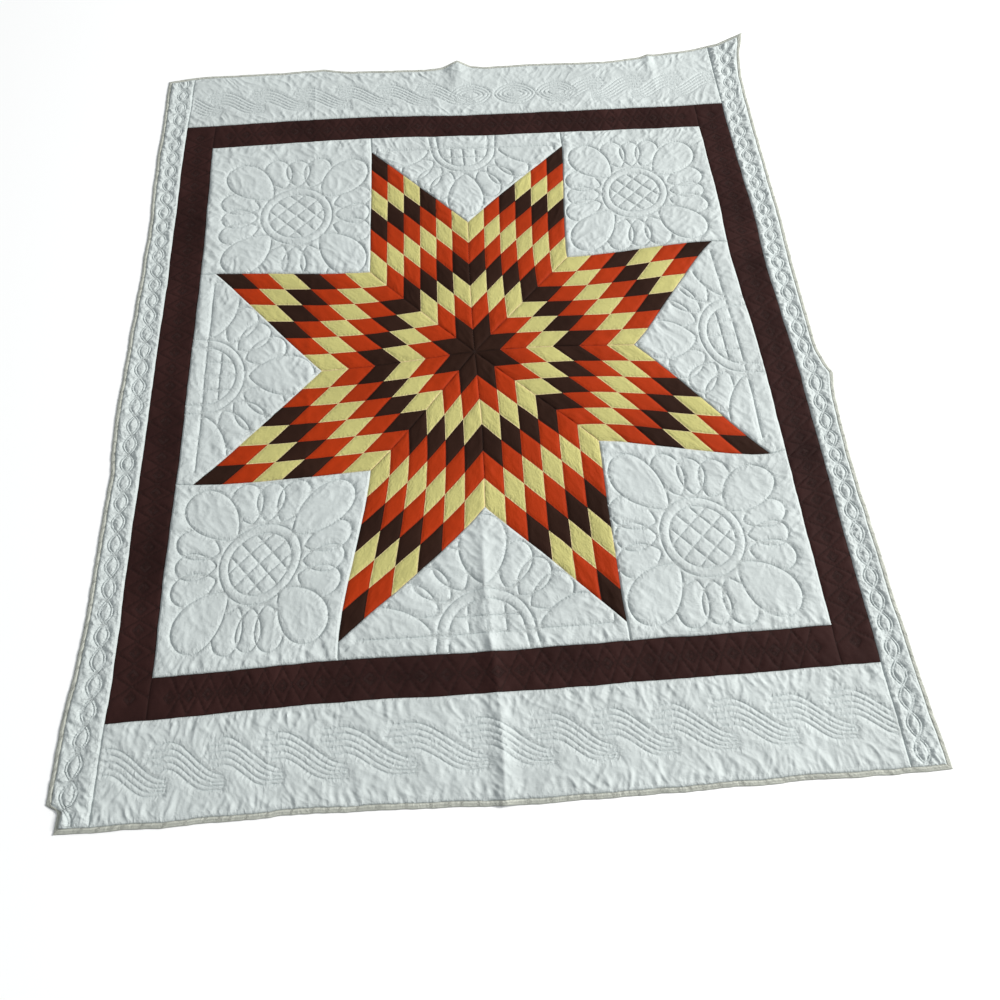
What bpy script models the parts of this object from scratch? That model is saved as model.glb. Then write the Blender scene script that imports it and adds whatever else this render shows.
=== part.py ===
"""Eight-pointed star quilt, laid flat and face up, with quilted relief.

The quilt is drawn in pattern space, which is the plan as it was cut and sewn: x across, y towards
the head end, with the star's centre at 0, 0. lay() then moves every point to where the cloth
really lies, because the star's points and corners are a little out of true.
Every panel is a slab with its puffs on top and a flat underside, lifted only where a fold stands up.
"""

import math

import bmesh
import bpy
import numpy as np
from mathutils import Vector
from mathutils.geometry import delaunay_2d_cdt

# Star: each point is a rhombus of small diamonds cut from equal strips
STRIP_WIDTH = 0.0508
DIAMONDS = 6
SIDE = DIAMONDS * STRIP_WIDTH / math.sin(math.radians(45))
HALF_SQUARE = SIDE * math.cos(math.radians(45))

# Borders: seam lines measured from the star's centre
FIELD_X = 0.777
FIELD_FOOT = -0.776
FIELD_HEAD = 0.796
FRAME_X = 0.868
FRAME_FOOT = -0.865
FRAME_HEAD = 0.891
BINDING = 0.011

# Thickness: stitched line, full puff, and how fast a puff rises beside its stitching
SEAM_HEIGHT = 0.0030
LOFT = 0.0058
RISE = 0.009
BINDING_CROWN = 0.0055

# Making: gap between sewn neighbours, longest step along a seam, and spacing of surface points
GAP = 0.0003
SEAM_STEP = 0.085
MERGE = 0.0012
SNAP = 0.003
LINE_CLEARANCE = 0.007
FOLD_CLEARANCE = 0.004
NEAR_FOLD = 0.012
PUFF_GRID = 0.008
PUFF_SPACING = (0.030, 0.066)
PUFF_SPREAD = 2.1
PUFF_ROOM = 0.009
DIAMOND_INSET = 0.010

# Outer edge of the binding, in columns x and y, along each side
HEAD_EDGE = (
    (-0.955, 1.108), (-0.850, 1.121), (-0.600, 1.118), (-0.450, 1.125), (-0.350, 1.109),
    (-0.100, 1.108), (-0.050, 1.115), (0.003, 1.133), (0.050, 1.119), (0.100, 1.112),
    (0.250, 1.119), (0.500, 1.114), (0.600, 1.125), (0.700, 1.139), (0.800, 1.150),
    (0.900, 1.160), (0.950, 1.176), (0.990, 1.188),
)
FOOT_EDGE = (
    (-0.941, -1.070), (-0.710, -1.075), (-0.410, -1.076), (-0.160, -1.082), (-0.010, -1.088),
    (0.240, -1.088), (0.640, -1.088), (0.840, -1.092), (0.960, -1.092),
)
LEFT_EDGE = (
    (-0.955, 1.108), (-0.951, 0.760), (-0.943, 0.520), (-0.950, 0.040), (-0.953, -0.120),
    (-0.943, -0.280), (-0.948, -0.600), (-0.955, -0.760), (-0.964, -0.860), (-0.966, -1.014),
    (-0.938, -1.028), (-0.941, -1.070),
)
RIGHT_EDGE = (
    (0.990, 1.188), (0.969, 1.100), (0.957, 1.000), (0.950, 0.600), (0.944, 0.200),
    (0.938, -0.040), (0.956, -0.120), (0.946, -0.210), (0.941, -0.360), (0.944, -0.680),
    (0.951, -0.920), (0.960, -1.092),
)

# Each side: its edge table, the column that its places run along, and the way in to the quilt
SIDES = {
    "head": (HEAD_EDGE, 0, -1),
    "foot": (FOOT_EDGE, 0, 1),
    "left": (LEFT_EDGE, 1, 1),
    "right": (RIGHT_EDGE, 1, -1),
}
# Where the binding's inner corners are read: y at the left head, left foot and right foot, x in from the ear
CORNER_AT = (1.090, -1.060, -1.080, 0.021)
CROWN_SHORT = 0.15

# How far the star's corners lie from their true places, in millimetres: bearing, shift x, shift y
TIP_SHIFT = (
    (22.5, -16, 30), (67.5, 12, 2), (112.5, 19, 15), (157.5, 4, 11),
    (-157.5, 4, -20), (-112.5, -59, 6), (-67.5, -2, 1), (-22.5, 0, -39),
)
NOTCH_SHIFT = (
    (0, 3, -1), (45, -21, 1), (90, 2, 22), (135, 14, -12),
    (180, 11, -22), (-135, 16, -12), (-90, -7, -3), (-45, -5, 26),
)
CENTRE_SHIFT = (-5, 8)
FIELD_CORNER_SHIFT = ((-1, 1, -7, 5), (1, 1, -6, -4), (1, -1, 0, 0), (-1, -1, 1, 0))

# Folds that stand up off the surface: axis, place, where they start, where they are full, half width, height
FOLDS = (
    ("x", -0.006, -0.42, -0.62, 0.018, 0.007),
    ("x", 0.003, 1.010, 1.110, 0.040, 0.014),
    ("x", 0.655, 0.960, 1.110, 0.022, 0.006),
    ("y", -0.120, 0.800, 0.935, 0.030, 0.009),
)
EAR_TIP = (0.990, 1.188)
EAR_REACH = 0.190
EAR_HEIGHT = 0.030
EAR_ARCS = (1 / 3, 2 / 3, 1)
# Corner of the left border that is turned under: its inner x, its two ends in y, and its extra height
TURN_UNDER = (-0.912, -1.092, -1.020, 0.0045)

# Stencilled quilting: two rings, and petals and lobes as start, length and half width
RING_OUTER = 0.102
RING_INNER = 0.079
HATCH = 0.0388
SQUARE_PETAL = (0.100, 0.170, 0.056)
SIDE_PETAL = (0.113, 0.172, 0.057)
MIDDLE_LOBE = (0.110, 0.102, 0.034)
OUTER_LOBE = (0.112, 0.114, 0.038)
LOBE_APART = 18.5
BASE_HALF = 0.270
BASE_TILT = 4
# Middle of each corner square's stencil, where the quilter marked it
SQUARE_MIDDLES = {
    "head_right": (0.5280, 0.5264), "head_left": (-0.5216, 0.5065),
    "foot_left": (-0.5401, -0.5271), "foot_right": (0.5213, -0.5440),
}
# Side triangles: bearing, far edge, how far in the base line is, and the stencil's shift along it
SIDE_TRIANGLES = {
    "right": (0, FIELD_X, 0.053, 0.013), "head": (90, FIELD_HEAD, 0.058, 0.0056),
    "left": (180, FIELD_X, 0.042, 0.0087), "foot": (270, -FIELD_FOOT, 0.041, -0.0075),
}

# Cables: crest of a strand's upper line, its lower line's drop at crest and trough, the fall, and the run
HEAD_CREST = 1.037
FOOT_CREST = -0.915
ROPE = (0.0296, 0.0440, 0.056, 0.128)
ROPE_STEP = 0.1348
FOOT_STRANDS = (-0.850, 0.860)
HEAD_STRANDS = (-0.905, -0.090, 0.440, 0.860)
OVALS = (0.040, 0.183, 0.318)
OVAL_MIDDLE = 0.981
OVAL_RINGS = ((0.064, 0.047), (0.041, 0.024))
SIDE_CABLE = (0.902, 0.018, 0.0535)
SIDE_CABLE_ENDS = (-1.078, 1.095)
CHEVRON = 0.0965

CLOTHS = {
    "brown": ((0.045, 0.022, 0.018), 0.85),
    "orange": ((0.445, 0.046, 0.009), 0.80),
    "yellow": ((0.660, 0.620, 0.230), 0.80),
    "white": ((0.640, 0.690, 0.690), 0.80),
    "cream": ((0.520, 0.520, 0.450), 0.82),
}
# Cloth of each row of diamonds from the star's centre to a tip
ROWS = (
    "brown", "orange", "yellow", "brown", "orange", "yellow",
    "orange", "brown", "yellow", "orange", "brown",
)


def turn(points, degrees, centre=(0.0, 0.0)):
    """Turn points about the origin and move them to the centre."""
    a = math.radians(degrees)
    spin = np.array(((math.cos(a), math.sin(a)), (-math.sin(a), math.cos(a))))
    return np.asarray(points, float) @ spin + np.asarray(centre)


def polar(radius, degrees):
    """Point at a radius and bearing."""
    a = math.radians(degrees)
    return np.array((radius * math.cos(a), radius * math.sin(a)))


def thin_plate(gaps):
    """Thin-plate spline kernel, r squared times log r."""
    r2 = (gaps ** 2).sum(-1)
    return 0.5 * r2 * np.log(np.maximum(r2, 1e-12))


def lay_table():
    """Pattern points whose place on the real quilt is known, and their shifts in metres."""
    tip = 2 * SIDE * math.cos(math.radians(22.5))
    rows = [(0.0, 0.0) + CENTRE_SHIFT]
    rows += [tuple(polar(tip, a)) + (dx, dy) for a, dx, dy in TIP_SHIFT]
    rows += [tuple(polar(SIDE, a)) + (dx, dy) for a, dx, dy in NOTCH_SHIFT]
    for sx, sy, dx, dy in FIELD_CORNER_SHIFT:
        rows.append((sx * FIELD_X, FIELD_HEAD if sy > 0 else FIELD_FOOT, dx, dy))
    for x in (-0.95, 0.0, 0.95):
        rows += [(x, y, 0, 0) for y in (-1.08, -0.865, 0.891, 1.11)]
    rows += [(x, y, 0, 0) for x in (-0.95, -0.868, 0.868, 0.95) for y in (-0.4, 0.0, 0.4)]
    table = np.array(rows)
    return table[:, :2], table[:, 2:] * 0.001


LAY_AT, LAY_SHIFT = lay_table()
LAY_WEIGHTS = np.linalg.solve(
    thin_plate(LAY_AT[:, None] - LAY_AT[None]) + 1e-9 * np.eye(len(LAY_AT)), LAY_SHIFT)


def lay(points):
    """Where pattern points lie on the real quilt."""
    points = np.asarray(points, float)
    return points + thin_plate(points[:, None] - LAY_AT[None]) @ LAY_WEIGHTS


def on_edge(table, at, column):
    """Place on one outer edge, read along column 0 or 1."""
    rows = np.array(table)
    order = np.argsort(rows[:, column])
    return np.interp(at, rows[order, column], rows[order, 1 - column])


def crease_places(axis, across=None):
    """Crest and foot lines of the folds about an axis, or of those that stand up at a place across it."""
    return [p + s * half for a, p, start, full, half, _ in FOLDS for s in (-1, 0, 1)
            if a == axis and (across is None or (across - start) * (full - start) > 0)]


def run(*stops):
    """Seam through the stops, with a point at every step and at every fold it crosses."""
    points = []
    for a, b in zip(stops, stops[1:]):
        a, b = np.array(a, float), np.array(b, float)
        length = float(np.hypot(*(b - a)))
        count = max(1, math.ceil(length / SEAM_STEP))
        along = set(np.linspace(0, 1, count + 1)[:-1])
        for axis in (0, 1):
            if abs(b[axis] - a[axis]) < 0.9 * length:
                continue
            for place in crease_places("xy"[axis], (a[1 - axis] + b[1 - axis]) / 2):
                part = (place - a[axis]) / (b[axis] - a[axis])
                if 0 < part < 1:
                    near = {s for s in along if s > 0 and abs(s - part) * length < NEAR_FOLD}
                    along = (along - near) | {part}
        points += [a + (b - a) * s for s in sorted(along)]
    return points + [np.array(stops[-1], float)]


def loop(*runs):
    """Closed outline from runs that meet end to end."""
    return np.array([p for piece in runs for p in piece[:-1]])


def inset(outline, distance):
    """Outline moved in by a distance, corner by corner, for an outline that runs anticlockwise."""
    before = outline - np.roll(outline, 1, axis=0)
    after = np.roll(outline, -1, axis=0) - outline
    left = []
    for way in (before, after):
        way = way / np.hypot(way[:, 0], way[:, 1])[:, None]
        left.append(np.stack((-way[:, 1], way[:, 0]), 1))
    middle = left[0] + left[1]
    return outline + middle * (distance / np.maximum(0.12, 1 + (left[0] * left[1]).sum(1)))[:, None]


def segments(line):
    """Start and end points of a line's pieces."""
    line = np.asarray(line)
    return line[:-1], line[1:]


def distance_to(points, lines):
    """Shortest distance from each point to any of the lines."""
    starts = np.concatenate([segments(line)[0] for line in lines])
    ways = np.concatenate([segments(line)[1] for line in lines]) - starts
    best = np.full(len(points), np.inf)
    for start, way in zip(starts, ways):
        to = points - start
        part = np.clip(to @ way / max(way @ way, 1e-12), 0, 1)
        best = np.minimum(best, np.hypot(*(to - part[:, None] * way).T))
    return best


def inside(points, outline):
    """True for points inside a closed outline, by counting crossings to the right."""
    x, y = points[:, 0:1], points[:, 1:2]
    a, b = outline, np.roll(outline, -1, axis=0)
    straddles = (a[:, 1] > y) != (b[:, 1] > y)
    rise = np.where(b[:, 1] == a[:, 1], 1e-12, b[:, 1] - a[:, 1])
    cross = a[:, 0] + (y - a[:, 1]) * (b[:, 0] - a[:, 0]) / rise
    return (straddles & (x < cross)).sum(1) % 2 == 1


def clip(lines, outline, clearance=LINE_CLEARANCE, within=True):
    """Parts of the lines that stay inside the outline, or outside it, and clear of it."""
    edge = np.vstack((outline, outline[:1]))
    kept = []
    for line in lines:
        line = np.asarray(line, float)
        good = (inside(line, outline) == within) & (distance_to(line, [edge]) > clearance)
        start = 0
        while start < len(line):
            end = start
            while end < len(line) and good[end]:
                end += 1
            if end - start > 1:
                kept.append(line[start:end])
            start = max(end, start + 1)
    return kept


def lift(points):
    """Height of the cloth's underside: folds, the raised corner, and nothing elsewhere."""
    high = np.zeros(len(points))
    for axis, place, start, full, half, height in FOLDS:
        column = 0 if axis == "x" else 1
        across = np.clip(1 - np.abs(points[:, column] - place) / half, 0, 1)
        along = np.clip((points[:, 1 - column] - start) / (full - start), 0, 1)
        high = np.maximum(high, height * across * along)
    away = np.hypot(*(points - EAR_TIP).T)
    return np.maximum(high, EAR_HEIGHT * np.clip(1 - away / EAR_REACH, 0, 1) ** 1.5)


def doubled(points):
    """Extra height over the corner of the left border that is turned under."""
    inner, low, high, extra = TURN_UNDER
    x, y = points.T
    return np.where((x < inner) & (y > low) & (y < high), extra, 0.0)


def puff_height(points, lines):
    """Thickness of the quilt: thin at its stitching, rising to a full puff."""
    return SEAM_HEIGHT + LOFT * (1 - np.exp(-distance_to(points, lines) / RISE))


def puff_points(outline, lines):
    """Surface points in the puffs, from the fullest places outwards, never too close together."""
    low, high = outline.min(0), outline.max(0)
    axes = [np.arange(a + PUFF_GRID / 2, b, PUFF_GRID) for a, b in zip(low, high)]
    grid = np.stack(np.meshgrid(*axes), -1).reshape(-1, 2)
    grid = grid[inside(grid, outline)]
    edge = np.vstack((outline, outline[:1]))
    room = distance_to(grid, lines + [edge])
    order = np.argsort(-room, kind="stable")
    order = order[room[order] > PUFF_ROOM]
    kept = np.zeros((0, 2))
    for index in order:
        spacing = min(max(PUFF_SPREAD * room[index], PUFF_SPACING[0]), PUFF_SPACING[1])
        if not len(kept) or np.hypot(*(kept - grid[index]).T).min() > spacing:
            kept = np.vstack((kept, grid[index]))
    return kept


def triangulate(outline, lines, points):
    """Triangles inside an outline that keep its lines, with the outline's own points given first."""
    coords = list(outline)
    edges = []
    for line in lines:
        first = len(coords)
        coords += list(line)
        edges += [(i, i + 1) for i in range(first, len(coords) - 1)]
    coords += list(points)
    flat, _, faces, first_ids, *_ = delaunay_2d_cdt(
        [Vector(p) for p in coords], edges, [list(range(len(outline)))], 1, MERGE)
    made_from = {source: made for made, sources in enumerate(first_ids) for source in sources}
    plan = np.array(flat)
    rim = [made_from[i] for i in range(len(outline))]
    plan[rim] = outline
    return plan, faces, rim


def slab(name, outline, lines, cloths, heights=None, puffs=None, cloth_of=None):
    """Closed panel over an outline: a top that follows its stitching, an underside that follows the folds."""
    outline = inset(outline, GAP / 2)
    edge = np.vstack((outline, outline[:1]))
    stitched = lines + [edge]
    if puffs is None:
        puffs = puff_points(outline, lines)
    folds = fold_lines(outline)
    mesh = bmesh.new()

    plan, faces, rim = triangulate(outline, [snap(line, outline) for line in lines] + folds, puffs)
    thick = heights(plan) if heights else puff_height(plan, stitched)
    tops = add_points(mesh, plan, lift(plan) + doubled(plan) + thick)
    for face in faces:
        made = mesh.faces.new([tops[i] for i in face])
        made.material_index = cloth_of(plan[face].mean(0)) if cloth_of else 0

    plan, faces, low_rim = triangulate(outline, folds, [])
    lows = add_points(mesh, plan, lift(plan))
    for face in faces:
        mesh.faces.new([lows[i] for i in reversed(face)])
    for i in range(len(outline)):
        j = (i + 1) % len(outline)
        mesh.faces.new((lows[low_rim[i]], lows[low_rim[j]], tops[rim[j]], tops[rim[i]]))
    bmesh.ops.recalc_face_normals(mesh, faces=mesh.faces)
    return to_object(name, mesh, cloths)


def add_points(mesh, plan, heights):
    """New mesh points over plan points, where they lie on the real quilt."""
    return [mesh.verts.new((x, y, z)) for (x, y), z in zip(lay(plan), heights)]


def snap(line, outline):
    """Line whose ends meet the outline's own points where they come close to one."""
    line = np.array(line, float)
    for end in (0, -1):
        gaps = np.hypot(*(outline - line[end]).T)
        if gaps.min() < SNAP:
            line[end] = outline[gaps.argmin()]
    return line


def fold_lines(outline):
    """Crest and feet of each fold where it stands up, and arcs round the raised corner."""
    lines = []
    low, high = outline.min(0), outline.max(0)
    for axis, middle, start, full, half, _ in FOLDS:
        column = 0 if axis == "x" else 1
        a, b = sorted((start, full + math.copysign(0.5, full - start)))
        a, b = max(a, low[1 - column]), min(b, high[1 - column])
        if a >= b:
            continue
        steps = np.linspace(a, b, max(2, math.ceil((b - a) / SEAM_STEP) + 1))
        for place in (middle - half, middle, middle + half):
            if low[column] < place < high[column]:
                line = np.stack((np.full(len(steps), place), steps), 1)
                lines.append(line if column == 0 else line[:, ::-1])
    for part in EAR_ARCS:
        arc = [EAR_TIP + polar(part * EAR_REACH, bearing) for bearing in range(165, 286, 15)]
        lines.append(np.array(arc))
    return clip(lines, outline, FOLD_CLEARANCE)


def to_object(name, mesh, cloths):
    """Put a finished mesh into its own object, with its origin at the middle of its base."""
    base = [v.co for v in mesh.verts]
    centre = Vector((sum(c.x for c in base) / len(base), sum(c.y for c in base) / len(base), 0))
    bmesh.ops.translate(mesh, vec=-centre, verts=mesh.verts)
    data = bpy.data.meshes.new(name)
    mesh.to_mesh(data)
    mesh.free()
    for cloth in cloths:
        data.materials.append(cloth_material(name, cloth))
    data.shade_smooth()
    data.set_sharp_from_angle(angle=math.radians(50))
    obj = bpy.data.objects.new(name, data)
    obj.location = centre
    COLLECTION.objects.link(obj)
    return obj


def cloth_material(name, cloth):
    """Plain cotton in one of the quilt's colours."""
    colour, roughness = CLOTHS[cloth]
    material = bpy.data.materials.new(f"{name}_{cloth}")
    material.use_nodes = True
    shader = material.node_tree.nodes["Principled BSDF"]
    shader.inputs["Base Color"].default_value = (*colour, 1.0)
    shader.inputs["Roughness"].default_value = roughness
    shader.inputs["Metallic"].default_value = 0.0
    return material


def circle(radius, count, centre):
    """Closed circle."""
    return np.array([polar(radius, 360 * i / count) + centre for i in range(count + 1)])


def leaf(place, length, half_width, count):
    """Closed leaf along +y from its point: its width is sin t times the root of sin t/2."""
    t = np.linspace(0, 2 * math.pi, count + 1)
    across = half_width / 0.862 * np.sin(t) * np.sqrt(np.sin(t / 2))
    return np.stack((across, place + length * (1 - np.cos(t)) / 2), 1)


def hatching(radius, pitch, degrees, centre):
    """Square grid of lines inside a circle."""
    lines = []
    count = int(0.8 * radius / pitch)
    for bearing in (degrees, degrees + 90):
        for i in range(-count, count + 1):
            reach = 0.93 * math.sqrt(radius ** 2 - (i * pitch) ** 2)
            lines.append(turn([(i * pitch, -reach), (i * pitch, reach)], bearing, centre))
    return lines


def ring_motif(centre, petals_at, petal, lobes_at, hatch_at):
    """The stencil: two rings, hatching, petals, and between each two petals a middle lobe that crosses
    two outer ones, which pass behind the petals."""
    petals = [turn(leaf(*petal, 12), at - 90, centre) for at in petals_at]
    lines = [circle(RING_OUTER, 20, centre), circle(RING_INNER, 14, centre)]
    lines += hatching(RING_INNER, HATCH, hatch_at, centre) + petals
    for at in lobes_at:
        lines.append(turn(leaf(*MIDDLE_LOBE, 9)[1:-1], at - 90, centre))
        for side in (-LOBE_APART, LOBE_APART):
            outer = [turn(leaf(*OUTER_LOBE, 12)[1:-1], at + side - 90, centre)]
            for front in petals:
                outer = clip(outer, front[:-1], 0.002, within=False)
            lines += outer
    return lines


def make_star():
    """Eight rhombus points, each of 36 puffed diamonds."""
    cell = SIDE / DIAMONDS
    ring_cloths = ("brown", "orange", "yellow")
    for k in range(8):
        a, b = polar(cell, 45 * k), polar(cell, 45 * k + 45)

        def spot(i, j, a=a, b=b):
            return i * a + j * b

        corners = ((0, 0), (DIAMONDS, 0), (DIAMONDS, DIAMONDS), (0, DIAMONDS), (0, 0))
        outline = loop(*[run(spot(*p), spot(*q)) for p, q in zip(corners, corners[1:])])
        steps = range(DIAMONDS + 1)
        lines = [np.array([spot(i, j) for j in steps]) for i in steps[1:-1]]
        lines += [np.array([spot(i, j) for i in steps]) for j in steps[1:-1]]
        off = DIAMOND_INSET / (cell * math.sin(math.radians(45)))
        puffs = [spot(i + u, j + v) for i in range(DIAMONDS) for j in range(DIAMONDS)
                 for u, v in ((off, off), (1 - off, off), (1 - off, 1 - off), (off, 1 - off))]
        back = np.linalg.inv(np.stack((a, b), 1))

        def cloth_of(place, back=back):
            i, j = np.floor(back @ place).astype(int)
            return ring_cloths.index(ROWS[min(max(i + j, 0), len(ROWS) - 1)])

        slab(f"star_point_{k + 1}", outline, lines, ring_cloths, puffs=puffs, cloth_of=cloth_of)


def make_squares():
    """White corner squares, each with the stencil and its petals on the diagonals."""
    corners = (("head_right", 1, 1), ("head_left", -1, 1), ("foot_left", -1, -1), ("foot_right", 1, -1))
    for name, sx, sy in corners:
        far_y = FIELD_HEAD if sy > 0 else -FIELD_FOOT
        tip = SIDE + HALF_SQUARE
        stops = [(HALF_SQUARE, HALF_SQUARE), (tip, HALF_SQUARE), (FIELD_X, HALF_SQUARE), (FIELD_X, far_y),
                 (HALF_SQUARE, far_y), (HALF_SQUARE, tip), (HALF_SQUARE, HALF_SQUARE)]
        stops = [(x * sx, y * sy) for x, y in stops]
        if sx * sy < 0:
            stops.reverse()
        outline = loop(run(*stops))
        motif = ring_motif(SQUARE_MIDDLES[name], (45, 135, 225, 315), SQUARE_PETAL, (0, 90, 180, 270), 45)
        slab(f"field_square_{name}", outline, clip(motif, outline), ["white"])


def make_triangles():
    """White side triangles, each with half the stencil standing on a line near the border."""
    for name, (bearing, far, base_in, shift) in SIDE_TRIANGLES.items():
        tip = SIDE + HALF_SQUARE
        stops = [(SIDE, 0), (tip, -HALF_SQUARE), (far, -HALF_SQUARE),
                 (far, HALF_SQUARE), (tip, HALF_SQUARE), (SIDE, 0)]
        outline = loop(run(*turn(stops, bearing)))
        base = far - base_in
        petals, lobes = (180, 90 + BASE_TILT, 270 - BASE_TILT), (135 + BASE_TILT / 2, 225 - BASE_TILT / 2)
        half = ring_motif((base, shift), petals, SIDE_PETAL, lobes, 0)
        above = np.array(((0, -SIDE), (base + MERGE, -SIDE), (base + MERGE, SIDE), (0, SIDE)))
        half = clip(half, above, 0.0)
        half.append(np.array([(base, y) for y in np.linspace(-BASE_HALF, BASE_HALF, 13)]))
        lines = clip([turn(line, bearing) for line in half], outline)
        slab(f"field_triangle_{name}", outline, lines, ["white"])


def chevrons(start, stop, low, high):
    """Crossing diagonals along a strip that runs in x: two zigzags half a step apart."""
    count = max(1, round((stop - start) / CHEVRON))
    xs = np.linspace(start, stop, 2 * count + 1)
    ups = np.where(np.arange(len(xs)) % 2 == 0, low, high)
    downs = np.where(np.arange(len(xs)) % 2 == 0, high, low)
    return [np.stack((xs, ups), 1), np.stack((xs, downs), 1)]


def make_frame():
    """Dark inner border: head and foot strips between two full-length sides."""
    margin = LINE_CLEARANCE + MERGE
    for name, low, high in (("head", FIELD_HEAD, FRAME_HEAD), ("foot", FRAME_FOOT, FIELD_FOOT)):
        lower_x = upper_x = (-FIELD_X, FIELD_X)
        broken_x = (-FIELD_X, -HALF_SQUARE, HALF_SQUARE, FIELD_X)
        if name == "head":
            lower_x = broken_x
        else:
            upper_x = broken_x
        lower, upper = [(x, low) for x in lower_x], [(x, high) for x in upper_x]
        outline = loop(run(*lower), run(lower[-1], upper[-1]), run(*upper[::-1]), run(upper[0], lower[0]))
        lines = clip(chevrons(-FIELD_X + margin, FIELD_X - margin, low + margin, high - margin), outline)
        slab(f"frame_{name}", outline, lines, ["brown"])
    for name, sign in (("right", 1), ("left", -1)):
        seam_ys = (FRAME_FOOT, FIELD_FOOT, -HALF_SQUARE, HALF_SQUARE, FIELD_HEAD, FRAME_HEAD)
        inner = [(FIELD_X, y) for y in seam_ys]
        outer = [(FRAME_X, FRAME_FOOT), (FRAME_X, FRAME_HEAD)]
        stops = [outer[0], outer[1]] + inner[::-1] + [outer[0]]
        strip = chevrons(FRAME_FOOT + margin, FRAME_HEAD - margin, FIELD_X + margin, FRAME_X - margin)
        strip = [line[:, ::-1] for line in strip]
        if sign < 0:
            stops = [(-x, y) for x, y in stops[::-1]]
            strip = [line * (-1, 1) for line in strip]
        outline = loop(run(*stops))
        slab(f"frame_{name}", outline, clip(strip, outline), ["brown"])


def hem(side, places):
    """Points on the binding's inner edge at places along a side."""
    table, column, inward = SIDES[side]
    places = np.asarray(places)
    across = on_edge(table, places, column) + inward * BINDING
    pair = (places, across) if column == 0 else (across, places)
    return np.stack(pair, 1)


def side_places(side):
    """Places along a side where its edge has a point: its table's rows, the border seams and the folds."""
    table, column, _ = SIDES[side]
    low, high = HEM_SPAN[side]
    places = {round(row[column], 4) for row in table}
    places |= {-FRAME_X, FRAME_X} if column == 0 else set()
    places = {p for p in places if low + 0.004 < p < high - 0.004}
    for crease in crease_places("xy"[column]):
        if low < crease < high and crosses(side, crease):
            seams = {p for p in places if abs(abs(p) - FRAME_X) < 1e-6}
            places = {p for p in places if abs(p - crease) > LINE_CLEARANCE} | seams | {crease}
    spread = [low] + sorted(places) + [high]
    full = []
    for a, b in zip(spread, spread[1:]):
        full += list(np.linspace(a, b, max(1, math.ceil((b - a) / (2 * SEAM_STEP))) + 1)[:-1])
    return full + [high]


def crosses(side, crease):
    """True where a fold at this place runs out through this side."""
    _, column, inward = SIDES[side]
    return any(a == "xy"[column] and abs(p - crease) <= half * 1.001 and (full - start) * inward < 0
               for a, p, start, full, half, _ in FOLDS)


def hem_spans():
    """Ends of the binding's inner edge along each side, from where neighbouring edges meet."""
    left_head_y, left_foot_y, right_foot_y, ear_in = CORNER_AT
    head = (on_edge(LEFT_EDGE, left_head_y, 1) + BINDING, EAR_TIP[0] - ear_in)
    foot = (on_edge(LEFT_EDGE, left_foot_y, 1) + BINDING, on_edge(RIGHT_EDGE, right_foot_y, 1) - BINDING)
    left, right = [(on_edge(FOOT_EDGE, foot[i], 0) + BINDING, on_edge(HEAD_EDGE, head[i], 0) - BINDING)
                   for i in (0, 1)]
    return {"head": head, "foot": foot, "left": left, "right": right}


HEM_SPAN = hem_spans()


def inner_edge(side):
    """Binding's inner edge along one side, from its low end to its high end, with shared corner points."""
    line = hem(side, side_places(side))
    if side in ("left", "right"):
        end = ("left", "right").index(side)
        line[0, 0], line[-1, 0] = HEM_SPAN["foot"][end], HEM_SPAN["head"][end]
    return [tuple(p) for p in line]


def outer_edge(side):
    """Binding's outer edge, with one point opposite each point of the inner edge."""
    table, column, _ = SIDES[side]
    places = side_places(side)
    across = on_edge(table, places, column)
    line = [(p, q) if column == 0 else (q, p) for p, q in zip(places, across)]
    ends = sorted(table, key=lambda row: row[column])
    return [tuple(ends[0])] + line[1:-1] + [tuple(ends[-1])]


def make_borders():
    """White outer border: head and foot strips between two full-length sides, with their cables."""
    head, foot = inner_edge("head"), inner_edge("foot")
    left, right = inner_edge("left"), inner_edge("right")
    across = (-FRAME_X, -FIELD_X, FIELD_X, FRAME_X)

    head_part, foot_part = [[p for p in line if abs(p[0]) <= FRAME_X + 1e-6] for line in (head, foot)]
    seams = {
        "head_left": run((-FRAME_X, FRAME_HEAD), head_part[0]),
        "head_right": run((FRAME_X, FRAME_HEAD), head_part[-1]),
        "foot_left": run(foot_part[0], (-FRAME_X, FRAME_FOOT)),
        "foot_right": run(foot_part[-1], (FRAME_X, FRAME_FOOT)),
    }
    outline = loop(run(*[(x, FRAME_HEAD) for x in across]), seams["head_right"],
                   [np.array(p) for p in head_part[::-1]], seams["head_left"][::-1])
    first, last, second, stop = HEAD_STRANDS
    cable = rope(HEAD_CREST, first, last, 1) + ovals() + rope(HEAD_CREST, second, stop, -1)
    slab("border_head", outline, clip(cable, outline), ["white"])
    outline = loop([np.array(p) for p in foot_part], seams["foot_right"],
                   run(*[(x, FRAME_FOOT) for x in across[::-1]]), seams["foot_left"][::-1])
    slab("border_foot", outline, clip(rope(FOOT_CREST, *FOOT_STRANDS, 1), outline), ["white"])

    for name, sign, edge in (("right", 1, right), ("left", -1, left)):
        inner = seams[f"foot_{name}"] + run((sign * FRAME_X, FRAME_FOOT), (sign * FRAME_X, FRAME_HEAD))[1:]
        inner += seams[f"head_{name}"][1:]
        top = [np.array(p) for p in head if p[0] * sign >= FRAME_X - 1e-6]
        bottom = [np.array(p) for p in foot if p[0] * sign >= FRAME_X - 1e-6]
        outer = [np.array(p) for p in edge]
        if sign > 0:
            outline = loop(bottom, outer, top[::-1], inner[::-1])
        else:
            outline = loop(inner, top[::-1], outer[::-1], bottom)
        lines = clip(eyes(sign), outline)
        slab(f"border_{name}", outline, lines, ["white"])


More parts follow.
